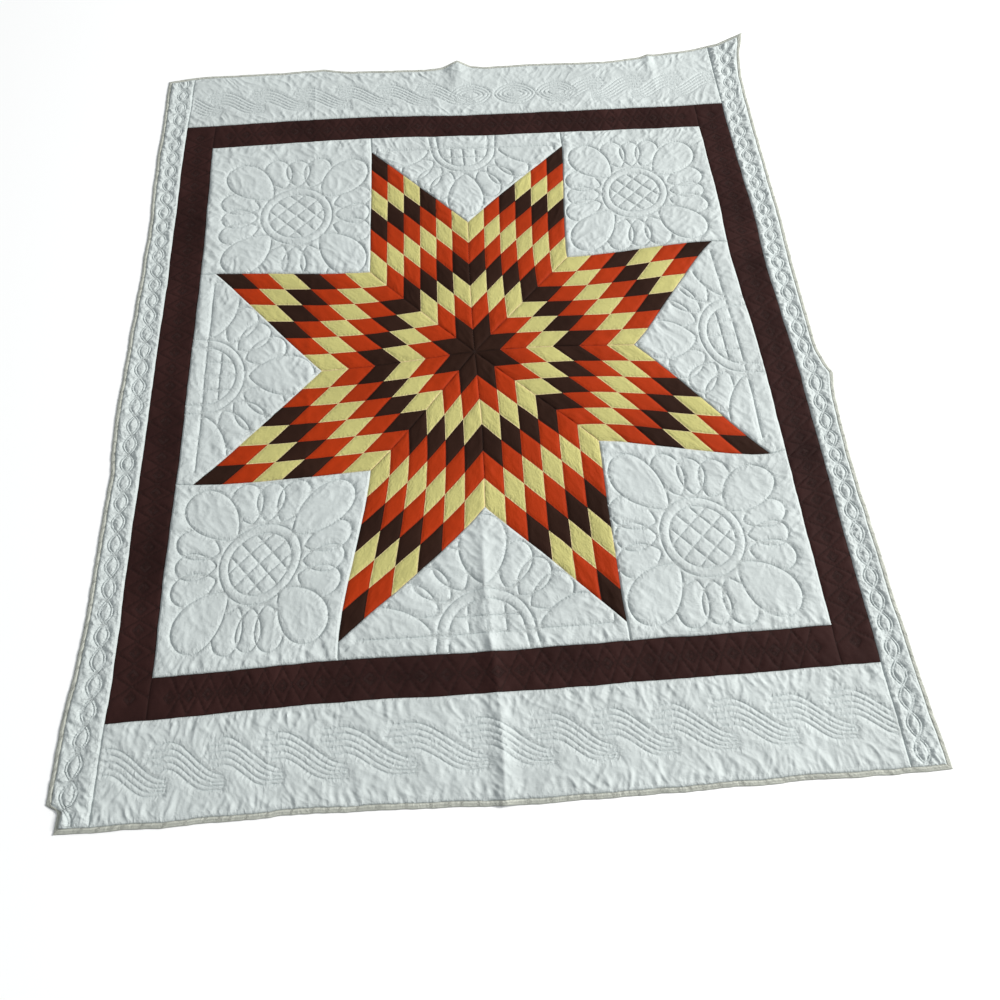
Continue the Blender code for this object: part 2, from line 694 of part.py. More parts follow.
def rope(crest, first, stop, lean):
    """Strands of a twisted cable: each has two lines that fall as half a cosine and spread on the way."""
    near, wide, fall, reach = ROPE
    part = np.linspace(0, 1, 5)
    lines = []
    for start in np.arange(first, stop, ROPE_STEP):
        for high, low in ((crest, crest - fall), (crest - near, crest - fall - wide)):
            y = (high + low) / 2 + (high - low) / 2 * np.cos(math.pi * part)
            lines.append(np.stack((start + lean * reach * part, y), 1))
    return lines


def ovals():
    """Nested ovals where the head cable changes its lean."""
    return [circle(1, 12, (0, 0)) * rings + (x, OVAL_MIDDLE) for x in OVALS for rings in OVAL_RINGS]


def eyes(sign):
    """Two interlaced waves down a side border, crossing at every eye."""
    middle, half, pitch = SIDE_CABLE
    low, high = SIDE_CABLE_ENDS
    steps = np.arange(low, high, pitch / 3)
    wave = half * np.sin(math.pi * (steps - low) / pitch)
    return [np.stack((sign * middle + way * wave, steps), 1) for way in (-1, 1)]


def make_binding():
    """Narrow binding, highest along its middle, mitred at the corners."""
    for side in ("head", "foot", "left", "right"):
        inner, outer = inner_edge(side), outer_edge(side)
        forward = side in ("foot", "right")
        first, second = (outer, inner) if forward else (inner, outer)
        outline = np.array(first + second[::-1], float)
        crown = (np.array(inner) + np.array(outer)) / 2
        crown[0] += (crown[1] - crown[0]) * CROWN_SHORT
        crown[-1] += (crown[-2] - crown[-1]) * CROWN_SHORT

        def heights(plan, crown=crown):
            near = distance_to(plan, [crown])
            return SEAM_HEIGHT + (BINDING_CROWN - SEAM_HEIGHT) * np.clip(1 - near / (BINDING / 2), 0, 1)

        slab(f"binding_{side}", outline, [crown], ["cream"], heights=heights, puffs=[])


def centre_on_base():
    """Move the whole quilt so that the middle of its base is at the origin."""
    bpy.context.view_layer.update()
    corners = [obj.matrix_world @ Vector(c) for obj in COLLECTION.objects for c in obj.bound_box]
    middle = [(min(c[i] for c in corners) + max(c[i] for c in corners)) / 2 for i in (0, 1)]
    for obj in COLLECTION.objects:
        obj.location.x -= middle[0]
        obj.location.y -= middle[1]


for old in list(bpy.data.objects):
    bpy.data.objects.remove(old, do_unlink=True)

COLLECTION = bpy.data.collections.new("star_quilt")
bpy.context.scene.collection.children.link(COLLECTION)

make_star()
make_squares()
make_triangles()
make_frame()
make_borders()
make_binding()
centre_on_base()
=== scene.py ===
"""Dresses the star quilt: fine quilted relief, pieced cotton, thread and binding, on a pale floor.

The quilt is drawn in pattern space, the plan as it was cut and sewn, with the star's centre at 0, 0.
Every panel is one closed slab on a lattice of points. Its height is worked out from the distance to
the stitched lines, and lay() then moves it to where the cloth really lies.
"""

import math

import bpy
import numpy as np
from bpy.props import FloatProperty, FloatVectorProperty, PointerProperty
from mathutils import Matrix, Vector


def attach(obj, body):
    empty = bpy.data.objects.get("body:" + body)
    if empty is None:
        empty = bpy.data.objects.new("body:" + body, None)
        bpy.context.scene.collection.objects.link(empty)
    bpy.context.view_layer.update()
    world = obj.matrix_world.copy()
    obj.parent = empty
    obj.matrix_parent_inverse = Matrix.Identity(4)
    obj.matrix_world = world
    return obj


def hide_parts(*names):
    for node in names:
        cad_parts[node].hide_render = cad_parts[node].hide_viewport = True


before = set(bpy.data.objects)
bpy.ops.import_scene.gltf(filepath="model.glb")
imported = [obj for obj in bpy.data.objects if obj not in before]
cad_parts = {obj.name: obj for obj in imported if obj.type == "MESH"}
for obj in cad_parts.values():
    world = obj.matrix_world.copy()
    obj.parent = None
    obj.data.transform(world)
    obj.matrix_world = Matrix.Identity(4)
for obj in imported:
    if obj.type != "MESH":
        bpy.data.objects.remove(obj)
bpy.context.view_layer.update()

bl_info = {
    "name": "Star quilt",
    "version": (1, 0, 0),
    "blender": (4, 5, 0),
    "location": "View3D > Sidebar > Quilt",
    "description": "Builds a pieced and quilted star blanket, panel by panel",
    "category": "Object",
}

# Star: each point is a rhombus of small diamonds cut from equal strips
STRIP_WIDTH = 0.0508
DIAMONDS = 6
SIDE = DIAMONDS * STRIP_WIDTH / math.sin(math.radians(45))
HALF_SQUARE = SIDE * math.cos(math.radians(45))
# Cloth of each row of diamonds from the star's centre to a tip: 0 brown, 1 rust, 2 yellow
ROW_CLOTHS = (0, 1, 2, 0, 1, 2, 1, 0, 2, 1, 0)

# Seam lines measured from the star's centre, and the width of the binding
FIELD_X = 0.777
FIELD_FOOT = -0.776
FIELD_HEAD = 0.796
FRAME_X = 0.868
FRAME_FOOT = -0.865
FRAME_HEAD = 0.891
BINDING = 0.011
GAP = 0.0001
QUILT_MIDDLE = np.array((0.01231873, 0.04771531))

# Outer edge of the binding, in columns x and y, along each side
HEAD_EDGE = (
    (-0.955, 1.108), (-0.850, 1.121), (-0.600, 1.118), (-0.450, 1.125), (-0.350, 1.109),
    (-0.100, 1.108), (-0.050, 1.115), (0.003, 1.133), (0.050, 1.119), (0.100, 1.112),
    (0.250, 1.119), (0.500, 1.114), (0.600, 1.125), (0.700, 1.139), (0.800, 1.150),
    (0.900, 1.160), (0.950, 1.176), (0.990, 1.188),
)
FOOT_EDGE = (
    (-0.941, -1.070), (-0.710, -1.075), (-0.410, -1.076), (-0.160, -1.082), (-0.010, -1.088),
    (0.240, -1.088), (0.640, -1.088), (0.840, -1.092), (0.960, -1.092),
)
LEFT_EDGE = (
    (-0.955, 1.108), (-0.951, 0.760), (-0.943, 0.520), (-0.950, 0.040), (-0.953, -0.120),
    (-0.943, -0.280), (-0.948, -0.600), (-0.955, -0.760), (-0.964, -0.860), (-0.966, -1.014),
    (-0.938, -1.028), (-0.941, -1.070),
)
RIGHT_EDGE = (
    (0.990, 1.188), (0.969, 1.100), (0.957, 1.000), (0.950, 0.600), (0.944, 0.200),
    (0.938, -0.040), (0.956, -0.120), (0.946, -0.210), (0.941, -0.360), (0.944, -0.680),
    (0.951, -0.920), (0.960, -1.092),
)
# Each side: its edge table, the column that its places run along, and the way in to the quilt
SIDES = {
    "head": (HEAD_EDGE, 0, -1),
    "foot": (FOOT_EDGE, 0, 1),
    "left": (LEFT_EDGE, 1, 1),
    "right": (RIGHT_EDGE, 1, -1),
}
CORNER_AT = (1.090, -1.060, -1.080, 0.021)

# How far the star's corners lie from their true places, in millimetres: bearing, shift x, shift y
TIP_SHIFT = (
    (22.5, -16, 30), (67.5, 12, 2), (112.5, 19, 15), (157.5, 4, 11),
    (-157.5, 4, -20), (-112.5, -59, 6), (-67.5, -2, 1), (-22.5, 0, -39),
)
NOTCH_SHIFT = (
    (0, 3, -1), (45, -21, 1), (90, 2, 22), (135, 14, -12),
    (180, 11, -22), (-135, 16, -12), (-90, -7, -3), (-45, -5, 26),
)
CENTRE_SHIFT = (-5, 8)
FIELD_CORNER_SHIFT = ((-1, 1, -7, 5), (1, 1, -6, -4), (1, -1, 0, 0), (-1, -1, 1, 0))

# Folds that stand up: axis, place, where they start, where they are full, half width, height, and how
# sharp the crest is, from 0 to 1
FOLDS = (
    ("x", -0.006, -0.42, -0.62, 0.030, 0.0075, 1.0),
    ("x", 0.003, 1.000, 1.110, 0.052, 0.013, 0.15),
    ("x", 0.655, 0.960, 1.110, 0.026, 0.006, 0.5),
    ("y", -0.120, 0.800, 0.935, 0.034, 0.009, 0.3),
)
EAR_TIP = (0.990, 1.188)
EAR_REACH = 0.190
EAR_HEIGHT = 0.030
# Corner of the left border that is turned under: its inner x, its two ends in y, and its extra height
TURN_UNDER = (-0.912, -1.092, -1.020, 0.0045)

# Creases left by storing it folded: axis, place, drift across, from, to, half width, height
CREASES = (
    ("x", -0.004, 0.004, -1.10, 1.12, 0.011, 0.0013),
    ("x", -0.470, 0.003, -1.08, 1.12, 0.0045, 0.0020),
    ("x", 0.675, -0.012, -1.09, 0.20, 0.007, -0.0010),
    ("x", 0.655, 0.008, 0.30, 1.12, 0.006, 0.0012),
    ("y", -0.112, 0.012, -0.95, 0.95, 0.008, 0.0013),
    ("y", 0.560, -0.010, -0.95, 0.95, 0.006, -0.0008),
    ("y", -0.640, 0.012, -0.95, 0.95, 0.006, -0.0008),
)

# Stencilled quilting: rings, and petals and lobes as start, length and half width
RING_OUTER = 0.102
RING_INNER = 0.079
HATCH = 0.0388
SQUARE_PETAL = (0.100, 0.170, 0.056)
SIDE_PETAL = (0.113, 0.172, 0.057)
MIDDLE_LOBE = (0.110, 0.102, 0.034)
OUTER_LOBE = (0.112, 0.114, 0.038)
LOBE_APART = 18.5
BASE_HALF = 0.270
BASE_TILT = 4
# Middle of each stencil in the pattern, where the quilter marked it
SQUARE_MIDDLES = {
    "head_right": (0.5280, 0.5264), "head_left": (-0.5216, 0.5065),
    "foot_left": (-0.5401, -0.5271), "foot_right": (0.5213, -0.5440),
}
# Side triangles: bearing, far edge, how far in the base line is, and the shift of the stencil along it
SIDE_TRIANGLES = {
    "right": (0, FIELD_X, 0.053, 0.013), "head": (90, FIELD_HEAD, 0.058, 0.0056),
    "left": (180, FIELD_X, 0.042, 0.0087), "foot": (270, -FIELD_FOOT, 0.041, -0.0075),
}

# Cables: height of the upper line's crest; then the lines' spacing at crest and trough, the upper line's
# fall, and its run from crest to trough. Each strand's lines start and end past them.
HEAD_CREST = 1.037
FOOT_CREST = -0.915
ROPE = (0.0130, 0.0070, 0.072, 0.140)
ROPE_STEP = 0.1348
ROPE_LINES = 5
FOOT_STRANDS = (-0.850, 0.860)
HEAD_STRANDS = (-0.905, -0.090, 0.440, 0.860)
OVALS = (0.040, 0.183, 0.318)
OVAL_MIDDLE = 0.981
OVAL_RINGS = ((0.067, 0.047), (0.056, 0.0355), (0.043, 0.024), (0.028, 0.0125))
SIDE_CABLE = (0.902, 0.0152, 0.0535, 0.0032)
# Where the side cables wander from their straight middle line, as y and shift outwards
CABLE_DRIFT = {
    -1: ((-1.080, 0.024), (-0.950, 0.018), (-0.850, 0.005), (-0.600, 0.002), (1.100, 0.0)),
    1: ((-1.080, 0.0), (0.900, 0.0), (1.150, 0.022)),
}
CHEVRON = 0.0965
NEST = (0.007, 0.014)

# Relief, in metres: how far grooves, seams, gathers, puckers and margins reach, and the cells of the noise
GROOVE_REACH = 0.0015
SEAM_REACH = 0.004
GATHER_CELL = (0.0078, 0.040)
GATHER_REACH = 0.014
PUCKER_LENGTH = 0.080
PUCKER_REACH = (0.008, 0.040)
MARGIN_REACH = 0.035
CREASE_CELL = 0.019
SWELL = (0.0008, 0.16, 0.02)
SHARP_DEGREES = 62

# White borders, in metres: their length at the sides
BORDER_LONG = 2.17

# Binding, in metres: height of its roll, depth of the valley along it, and height of its edges
ROLL = 0.0017
VALLEY = 0.0006
HEM_EDGES = (0.0028, 0.0012)
TICK_EVERY = 11

# Camera as fitted to the photo, with lens and sensor in millimetres, then lamp and floor in metres
CAMERA_AT = (-0.0497, -1.1147, 1.9203)
CAMERA_FORWARD = (0.04479, 0.46704, -0.88310)
CAMERA_RIGHT = (0.99703, -0.07633, 0.01020)
CAMERA_LENS = 28.884
CAMERA_SENSOR = 36.0
CAMERA_SHIFT = -0.13
LAMP_AT = (10.8, 1.3, 6.6)
LAMP_SIZE = 3.2
FLOOR_HALF = 40.0
FLOOR_DROP = 0.0004


def length_setting(name, description, default):
    """A length in metres, shown in the scene's units."""
    return FloatProperty(name=name, description=description, default=default, unit="LENGTH")


def colour_setting(name, description, default):
    """A linear colour."""
    return FloatVectorProperty(name=name, description=description, default=default, subtype="COLOR")


class QuiltRelief(bpy.types.PropertyGroup):
    """Thickness of the quilt and how far its cloth puffs and puckers."""

    seam: length_setting("Stitched thickness", "Thickness where it is sewn through", 0.0030)
    loft: length_setting("Puff", "Rise of a full puff above its stitching", 0.0034)
    groove: length_setting("Groove", "Depth of the narrow groove at a stitched line", 0.0006)
    rise: length_setting("Rise", "Distance from the stitching over which a puff rises", 0.0060)
    pucker: length_setting("Pucker height", "Height of the puckers that run out from a seam", 0.0058)
    pucker_step: length_setting("Pucker spacing", "Distance between puckers along a wide margin", 0.0240)
    gather: length_setting("Gather height", "Height of the small gathers along stitching", 0.0022)
    crumple: length_setting("Crumple height", "Height of the random creases in open cloth", 0.0022)
    lattice: length_setting("Lattice step", "Distance between the points of the relief", 0.0035)


class QuiltCloth(bpy.types.PropertyGroup):
    """Colours of the cottons and the thread."""

    white: colour_setting("White", "Cool white cotton", (0.505, 0.547, 0.540))
    brown: colour_setting("Brown", "Dark brown cotton of the inner border", (0.0277, 0.0107, 0.0095))
    star_brown: colour_setting("Star brown", "Darkest cotton of the star", (0.0232, 0.0098, 0.0063))
    rust: colour_setting("Rust", "Rust orange cotton of the star", (0.344, 0.0270, 0.0018))
    yellow: colour_setting("Yellow", "Pale yellow cotton of the star", (0.473, 0.442, 0.163))
    binding: colour_setting("Binding", "Cream grey binding", (0.490, 0.503, 0.445))
    backing: colour_setting("Backing", "Plain cotton of the underside", (0.560, 0.580, 0.550))
    thread: length_setting("Thread pitch", "Distance between threads of the weave", 0.0007)
    stitch: length_setting("Stitch length", "Length of one quilting stitch and its gap", 0.0034)


class QuiltStage(bpy.types.PropertyGroup):
    """Floor and lamps."""

    floor: colour_setting("Floor", "Colour of the pale floor", (0.95, 0.95, 0.95))
    key: FloatProperty(name="Window power", description="Power of the large lamp beyond the head end",
                       default=2400.0, unit="POWER")
    fill: FloatProperty(
        name="Fill", description="Strength of the soft light from all round", default=0.48)


def polar(radius, degrees):
    """Point at a radius and bearing."""
    a = math.radians(degrees)
    return np.array((radius * math.cos(a), radius * math.sin(a)))


def turn(points, degrees, centre=(0.0, 0.0)):
    """Points turned about the origin and moved to the centre."""
    a = math.radians(degrees)
    spin = np.array(((math.cos(a), math.sin(a)), (-math.sin(a), math.cos(a))))
    return np.asarray(points, float) @ spin + np.asarray(centre)


def thin_plate(gaps):
    """Thin-plate spline kernel: half of r squared times the log of r squared."""
    r2 = (gaps ** 2).sum(-1)
    return 0.5 * r2 * np.log(np.maximum(r2, 1e-12))


def lay_table():
    """Pattern points whose place on the real quilt is known, and their shifts in metres."""
    tip = 2 * SIDE * math.cos(math.radians(22.5))
    rows = [(0.0, 0.0) + CENTRE_SHIFT]
    rows += [tuple(polar(tip, a)) + (dx, dy) for a, dx, dy in TIP_SHIFT]
    rows += [tuple(polar(SIDE, a)) + (dx, dy) for a, dx, dy in NOTCH_SHIFT]
    for sx, sy, dx, dy in FIELD_CORNER_SHIFT:
        rows.append((sx * FIELD_X, FIELD_HEAD if sy > 0 else FIELD_FOOT, dx, dy))
    for x in (-0.95, 0.0, 0.95):
        rows += [(x, y, 0, 0) for y in (-1.08, -0.865, 0.891, 1.11)]
    rows += [(x, y, 0, 0) for x in (-0.95, -0.868, 0.868, 0.95) for y in (-0.4, 0.0, 0.4)]
    table = np.array(rows)
    return table[:, :2], table[:, 2:] * 0.001


LAY_AT, LAY_SHIFT = lay_table()
LAY_WEIGHTS = np.linalg.solve(
    thin_plate(LAY_AT[:, None] - LAY_AT[None]) + 1e-9 * np.eye(len(LAY_AT)), LAY_SHIFT)


def lay(points):
    """Where pattern points lie on the real quilt: each is moved by the spline of the known shifts, and by
    a small noise, stronger outside the star, so that no seam is quite straight."""
    wander = [noise(points, 0.085, seed) + 0.4 * noise(points, 0.027, seed + 1) for seed in (61, 63)]
    outer = np.clip((np.abs(points).max(1) - 0.66) / 0.10, 0, 1)[:, None]
    return (points + thin_plate(points[:, None] - LAY_AT[None]) @ LAY_WEIGHTS - QUILT_MIDDLE
            + (0.0009 + 0.0007 * outer) * np.stack(wander, 1))


def on_edge(table, at, column):
    """Place on one outer edge, read along column 0 or 1."""
    rows = np.array(table)
    order = np.argsort(rows[:, column])
    return np.interp(at, rows[order, column], rows[order, 1 - column])


def noise(points, cell, seed):
    """Smooth random heights from -1 to 1: sloping planes at the corners of a square lattice, blended."""
    q = np.asarray(points, float) / cell
    base = np.floor(q)
    part = q - base
    blend = part ** 3 * (part * (part * 6 - 15) + 10)
    total = np.zeros(len(q))
    for corner in ((0, 0), (1, 0), (0, 1), (1, 1)):
        spot = base + corner
        angle = np.sin(spot @ np.array((127.1, 311.7)) + seed * 17.31) * 43758.5453 % 1.0 * 2 * math.pi
        reach = part - corner
        weight = np.prod(np.where(corner, blend, 1 - blend), axis=1)
        total += weight * (np.cos(angle) * reach[:, 0] + np.sin(angle) * reach[:, 1])
    return total * 1.45


def creased(points, cell, seed):
    """Sharp-topped random ridges from 0 to 1: one less the size of two octaves of noise."""
    warp = np.stack([noise(points, cell * 2.1, seed + k) for k in (5, 6)], 1) * cell * 0.7
    coarse = 1 - np.abs(noise(points + warp, cell, seed))
    fine = 1 - np.abs(noise(points + warp, cell * 0.46, seed + 1))
    return coarse ** 3 * 0.7 + fine ** 3 * 0.3


def nearest(points, lines):
    """Distance from each point to the nearest line, the length along that line, and the point on it."""
    best = np.full(len(points), np.inf)
    along = np.zeros(len(points))
    foot = points.copy()
    for line in lines:
        line = np.asarray(line, float)
        ways = np.diff(line, axis=0)
        lengths = np.hypot(ways[:, 0], ways[:, 1])
        runs = np.cumsum(lengths) - lengths
        for start, way, length, run in zip(line[:-1], ways, lengths, runs):
            to = points - start
            part = np.clip(to @ way / max(length * length, 1e-12), 0, 1)
            at = start + part[:, None] * way
            gap = np.hypot(points[:, 0] - at[:, 0], points[:, 1] - at[:, 1])
            closer = gap < best
            best[closer] = gap[closer]
            along[closer] = run + part[closer] * length
            foot[closer] = at[closer]
    return best, along, foot


def lift(points):
    """Height of the underside: folds whose sections blend a sharp crest with a round one, and the raised
    corner, and nothing elsewhere."""
    high = np.zeros(len(points))
    for axis, place, start, full, half, height, sharp in FOLDS:
        column = 0 if axis == "x" else 1
        across = np.clip(1 - np.abs(points[:, column] - place) / half, 0, 1)
        along = np.clip((points[:, 1 - column] - start) / (full - start), 0, 1)
        section = sharp * across ** 1.4 + (1 - sharp) * across ** 2 * (3 - 2 * across)
        high = np.maximum(high, height * section * along)
    away = np.hypot(*(points - EAR_TIP).T)
    return np.maximum(high, EAR_HEIGHT * np.clip(1 - away / EAR_REACH, 0, 1) ** 1.5)


def creases(points):
    """Storage creases: sharp ridges or troughs that fall off with distance and drift along the way."""
    total = np.zeros(len(points))
    for axis, place, drift, low, high, half, height in CREASES:
        column = 0 if axis == "x" else 1
        along = points[:, 1 - column]
        line = place + drift * np.sin(along * 3.1 + place * 9)
        strength = np.clip((along - low) / 0.08, 0, 1) * np.clip((high - along) / 0.08, 0, 1)
        strength = strength * (0.75 + 0.5 * noise(points, 0.23, 40 + place * 10))
        total += height * strength * np.exp(-np.abs(points[:, column] - line) / half)
    return total


def doubled(points):
    """Extra height over the corner of the left border that is turned under, with a soft step."""
    inner, low, high, extra = TURN_UNDER
    x, y = points.T
    across = np.clip((inner - x) / 0.006, 0, 1)
    return extra * across * np.clip((high - y) / 0.006, 0, 1) * np.clip((y - low) / 0.006, 0, 1)


def circle(radius, count, centre):
    """Closed circle."""
    a = np.linspace(0, 2 * math.pi, count + 1)
    return np.stack((radius * np.cos(a), radius * np.sin(a)), 1) + np.asarray(centre)


def teardrop(place, length, half_width, count):
    """Leaf along +y from its point: its width is sin t times the root of sin t/2, widest past its middle."""
    t = np.linspace(0, 2 * math.pi, count + 1)
    across = half_width / 0.862 * np.sin(t) * np.sqrt(np.sin(t / 2))
    return np.stack((across, place + length * (1 - np.cos(t)) / 2), 1)


def inside(points, outline):
    """True for points inside a closed outline, by counting crossings to the right."""
    x, y = points[:, 0:1], points[:, 1:2]
    a, b = outline, np.roll(outline, -1, axis=0)
    straddles = (a[:, 1] > y) != (b[:, 1] > y)
    climb = np.where(b[:, 1] == a[:, 1], 1e-12, b[:, 1] - a[:, 1])
    cross = a[:, 0] + (y - a[:, 1]) * (b[:, 0] - a[:, 0]) / climb
    return (straddles & (x < cross)).sum(1) % 2 == 1


def clip(lines, outline, clearance=0.002, within=True):
    """Parts of the lines that stay inside the outline, or outside it, and clear of it."""
    edge = np.vstack((outline, outline[:1]))
    kept = []
    for line in lines:
        good = (inside(line, outline) == within) & (nearest(line, [edge])[0] > clearance)
        cuts = np.flatnonzero(np.diff(good.astype(int))) + 1
        for part, ok in zip(np.split(line, cuts), np.split(good, cuts)):
            if ok[0] and len(part) > 1:
                kept.append(part)
    return kept


def hatching(radius, pitch, degrees, centre):
    """Square grid of lines inside a circle."""
    lines = []
    count = int(0.8 * radius / pitch)
    for bearing in (degrees, degrees + 90):
        for i in range(-count, count + 1):
            reach = 0.96 * math.sqrt(radius ** 2 - (i * pitch) ** 2)
            steps = np.linspace(-reach, reach, 20)
            lines.append(turn(np.stack((np.full(20, i * pitch), steps), 1), bearing, centre))
    return lines


def rosette(centre, petals, petal, lobes, hatch_at):
    """The stencil: two rings, hatching, petals at their bearings, and between each two of them a middle
    lobe that crosses two outer ones, which pass behind the petals."""
    leaves = [turn(teardrop(*petal, 48), at - 90, centre) for at in petals]
    lines = [circle(RING_OUTER, 64, centre), circle(RING_INNER, 56, centre)]
    lines += hatching(RING_INNER, HATCH, hatch_at, centre) + leaves
    for at in lobes:
        lines.append(turn(teardrop(*MIDDLE_LOBE, 30), at - 90, centre))
        for side in (-LOBE_APART, LOBE_APART):
            outer = [turn(teardrop(*OUTER_LOBE, 34), at + side - 90, centre)]
            for leaf in leaves:
                outer = clip(outer, leaf[:-1], 0.001, within=False)
            lines += outer
    return lines


def rope(crest, starts, stop, lean):
    """Strands of a twisted cable: each line falls as half a cosine from crest to trough, drawing nearer to
    its neighbours on the way, and runs level past both ends."""
    near, wide, fall, run = ROPE
    lines = []
    for start in np.arange(starts, stop, ROPE_STEP):
        for row in range(ROPE_LINES):
            part = np.linspace(-0.26 - 0.07 * min(row, ROPE_LINES - 1 - row), 0.98 + 0.10 * row, 20)
            high = crest - row * near
            low = crest - fall - row * wide
            y = (high + low) / 2 + (high - low) / 2 * np.cos(math.pi * np.clip(part, -0.12, 1.0))
            lines.append(np.stack((start + lean * (run - 0.010 * row) * part, y), 1))
    return lines


def ovals():
    """Nested pointed ovals where the head cable changes its lean."""
    t = np.linspace(0, 2 * math.pi, 37)
    lines = []
    for x in OVALS:
        for half, high in OVAL_RINGS:
            rise = np.sin(t) * np.abs(np.sin(t)) ** 0.4
            lines.append(np.stack((x + half * np.cos(t), OVAL_MIDDLE + high * rise), 1))
    return lines


def eyes(sign):
    """Two interlaced double strands down a side border, crossing at every eye."""
    middle, half, pitch, twin = SIDE_CABLE
    y = np.arange(-1.078, 1.150, pitch / 9)
    drift = np.interp(y, *zip(*CABLE_DRIFT[sign]))
    lines = []
    for way in (-1, 1):
        for shift in (-twin, twin):
            wave = way * half * np.sin(math.pi * (y + 1.078) / pitch)
            lines.append(np.stack((sign * (middle + drift) + wave + shift, y), 1))
    return lines


def chevrons(start, stop, middle, half):
    """Crossing diagonals along a strip that runs in x, with small diamonds nested on its middle line."""
    count = round((stop - start) / CHEVRON)
    x = np.linspace(start, stop, 2 * count + 1)
    y = np.where(np.arange(len(x)) % 2 == 0, half, -half)
    lines = [np.stack((x, middle + y), 1), np.stack((x, middle - y), 1)]
    for place in (x[:-1] + x[1:]) / 2 + (x[1] - x[0]) / 2:
        for reach in NEST:
            diamond = np.array(((1, 0), (0, 1), (-1, 0), (0, -1), (1, 0))) * reach
            lines.append(diamond + (place, middle))
    return lines


def relief():
    """The panel's settings for the relief."""
    return bpy.context.scene.quilt_relief


def even(length, step):
    """Even number of steps that covers a length."""
    return max(2, 2 * round(length / step / 2))


def slanted(points, turned, cell, stretch, seed):
    """Ridges that run along one bearing: ridged noise on coordinates stretched that way."""
    a = math.radians(turned)
    run = points @ np.array((math.cos(a), math.sin(a)))
    over = points @ np.array((-math.sin(a), math.cos(a)))
    return creased(np.stack((run / stretch, over), 1), cell, seed)


def crumples(points):
    """Creases of the open cloth: ridges that lean in towards the foot on the left and the head on the
    right, sharper and higher near the head end."""
    x, y = points.T
    right = np.clip((x + 0.05) / 0.30, 0, 1) * np.clip((y - 0.10) / 0.30, 0, 1)
    broad = slanted(points, -48, 0.034, 1.9, 21) * (1 - right) + slanted(points, 50, 0.034, 1.9, 23) * right
    return (broad - 0.26) * (1 + 0.45 * np.clip((y - 0.05) / 0.4, 0, 1))


def top_height(points, reach, along, edge_reach, edge_along, puckered, puff):
    """Thickness: a narrow groove at the stitching and a low puff beside it, each one less a falling
    exponential, with gathers that run out from the stitching, wide puckers that run out from the seams,
    and sharp creases that are smallest in the middle of open cloth."""
    r = relief()
    puffed = puff * r.loft * (1 - np.exp(-reach / r.rise)) + r.groove * (1 - np.exp(-reach / GROOVE_REACH))
    room = 1 - np.exp(-reach / SEAM_REACH)
    gathers = 0.45 - np.abs(noise(np.stack((along, reach), 1) / GATHER_CELL, 1.0, 3)) * 1.2
    gathers = r.gather * gathers * room * np.exp(-reach / GATHER_REACH) * puff
    slant = edge_along + edge_reach * noise(points, 0.11, 8) * 0.9
    wide = noise(np.stack((slant * puckered / r.pucker_step, edge_reach / PUCKER_LENGTH), 1), 1.0, 11)
    wide = r.pucker * (0.50 - np.abs(wide) * 1.3) * room
    starts, fades = PUCKER_REACH
    wide = wide * (1 - np.exp(-edge_reach / starts)) * np.exp(-edge_reach / fades)
    broad = r.crumple * crumples(points) * np.clip((reach - 0.003) / 0.012, 0, 1)
    broad = broad * (1 + 1.5 * np.exp(-edge_reach / MARGIN_REACH))
    small = 0.75 * r.crumple * (creased(points, CREASE_CELL, 27) - 0.30) * room
    small = small * (0.45 + 0.55 * np.exp(-reach / 0.012))
    height, cell, clear = SWELL
    swell = height * noise(points, cell, 31) * (1 - np.exp(-reach / clear))
    return r.seam + puffed + (gathers + wide + broad + small) * puckered + swell


def lattice_faces(keep, weight):
    """Triangles of a lattice, counter-clockwise: each square of four kept points is split along the
    diagonal with the smaller weight, so that valleys stay sharp, and one of three is one triangle."""
    ids = np.arange(keep.size).reshape(keep.shape)
    ring = np.stack((ids[:-1, :-1], ids[1:, :-1], ids[1:, 1:], ids[:-1, 1:]), -1).reshape(-1, 4)
    have = keep.ravel()[ring]
    cells = np.arange(len(ring))
    full = have.all(1)
    quads = ring[full]
    w = weight.ravel()[quads]
    first = (w[:, 0] + w[:, 2] <= w[:, 1] + w[:, 3])[:, None]
    one = np.where(first, quads[:, [0, 1, 2]], quads[:, [0, 1, 3]])
    two = np.where(first, quads[:, [0, 2, 3]], quads[:, [1, 2, 3]])
    three = have.sum(1) == 3
    odd = ring[three][have[three]].reshape(-1, 3)
    return np.vstack((one, two, odd)), np.concatenate((cells[full], cells[full], cells[three]))


def coarse_faces(keep, rim):
    """Polygons of every second row and column, clockwise, that keep each point of the rim."""
    ids = np.arange(keep.size).reshape(keep.shape)
    c = ids[::2, ::2]
    centre = ids[1::2, 1::2].ravel()
    ring = np.stack((c[:-1, :-1], ids[1::2, :-1:2], c[1:, :-1], ids[2::2, 1::2], c[1:, 1:],
                     ids[1::2, 2::2], c[:-1, 1:], ids[:-1:2, 1::2]), -1).reshape(-1, 8)
    kept, on_rim = keep.ravel(), rim.ravel()
    corners = kept[ring[:, ::2]]
    some = (corners.sum(1) >= 3) & kept[centre]
    ring, centre, corners = ring[some], centre[some], corners[some]
    ring[:, ::2] = np.where(corners, ring[:, ::2], centre[:, None])
    use = np.ones(ring.shape, bool)
    use[:, 1::2] = kept[ring[:, 1::2]] & on_rim[ring[:, 1::2]]
    ring, use = ring[:, ::-1], use[:, ::-1]
    return ring[use], use.sum(1)


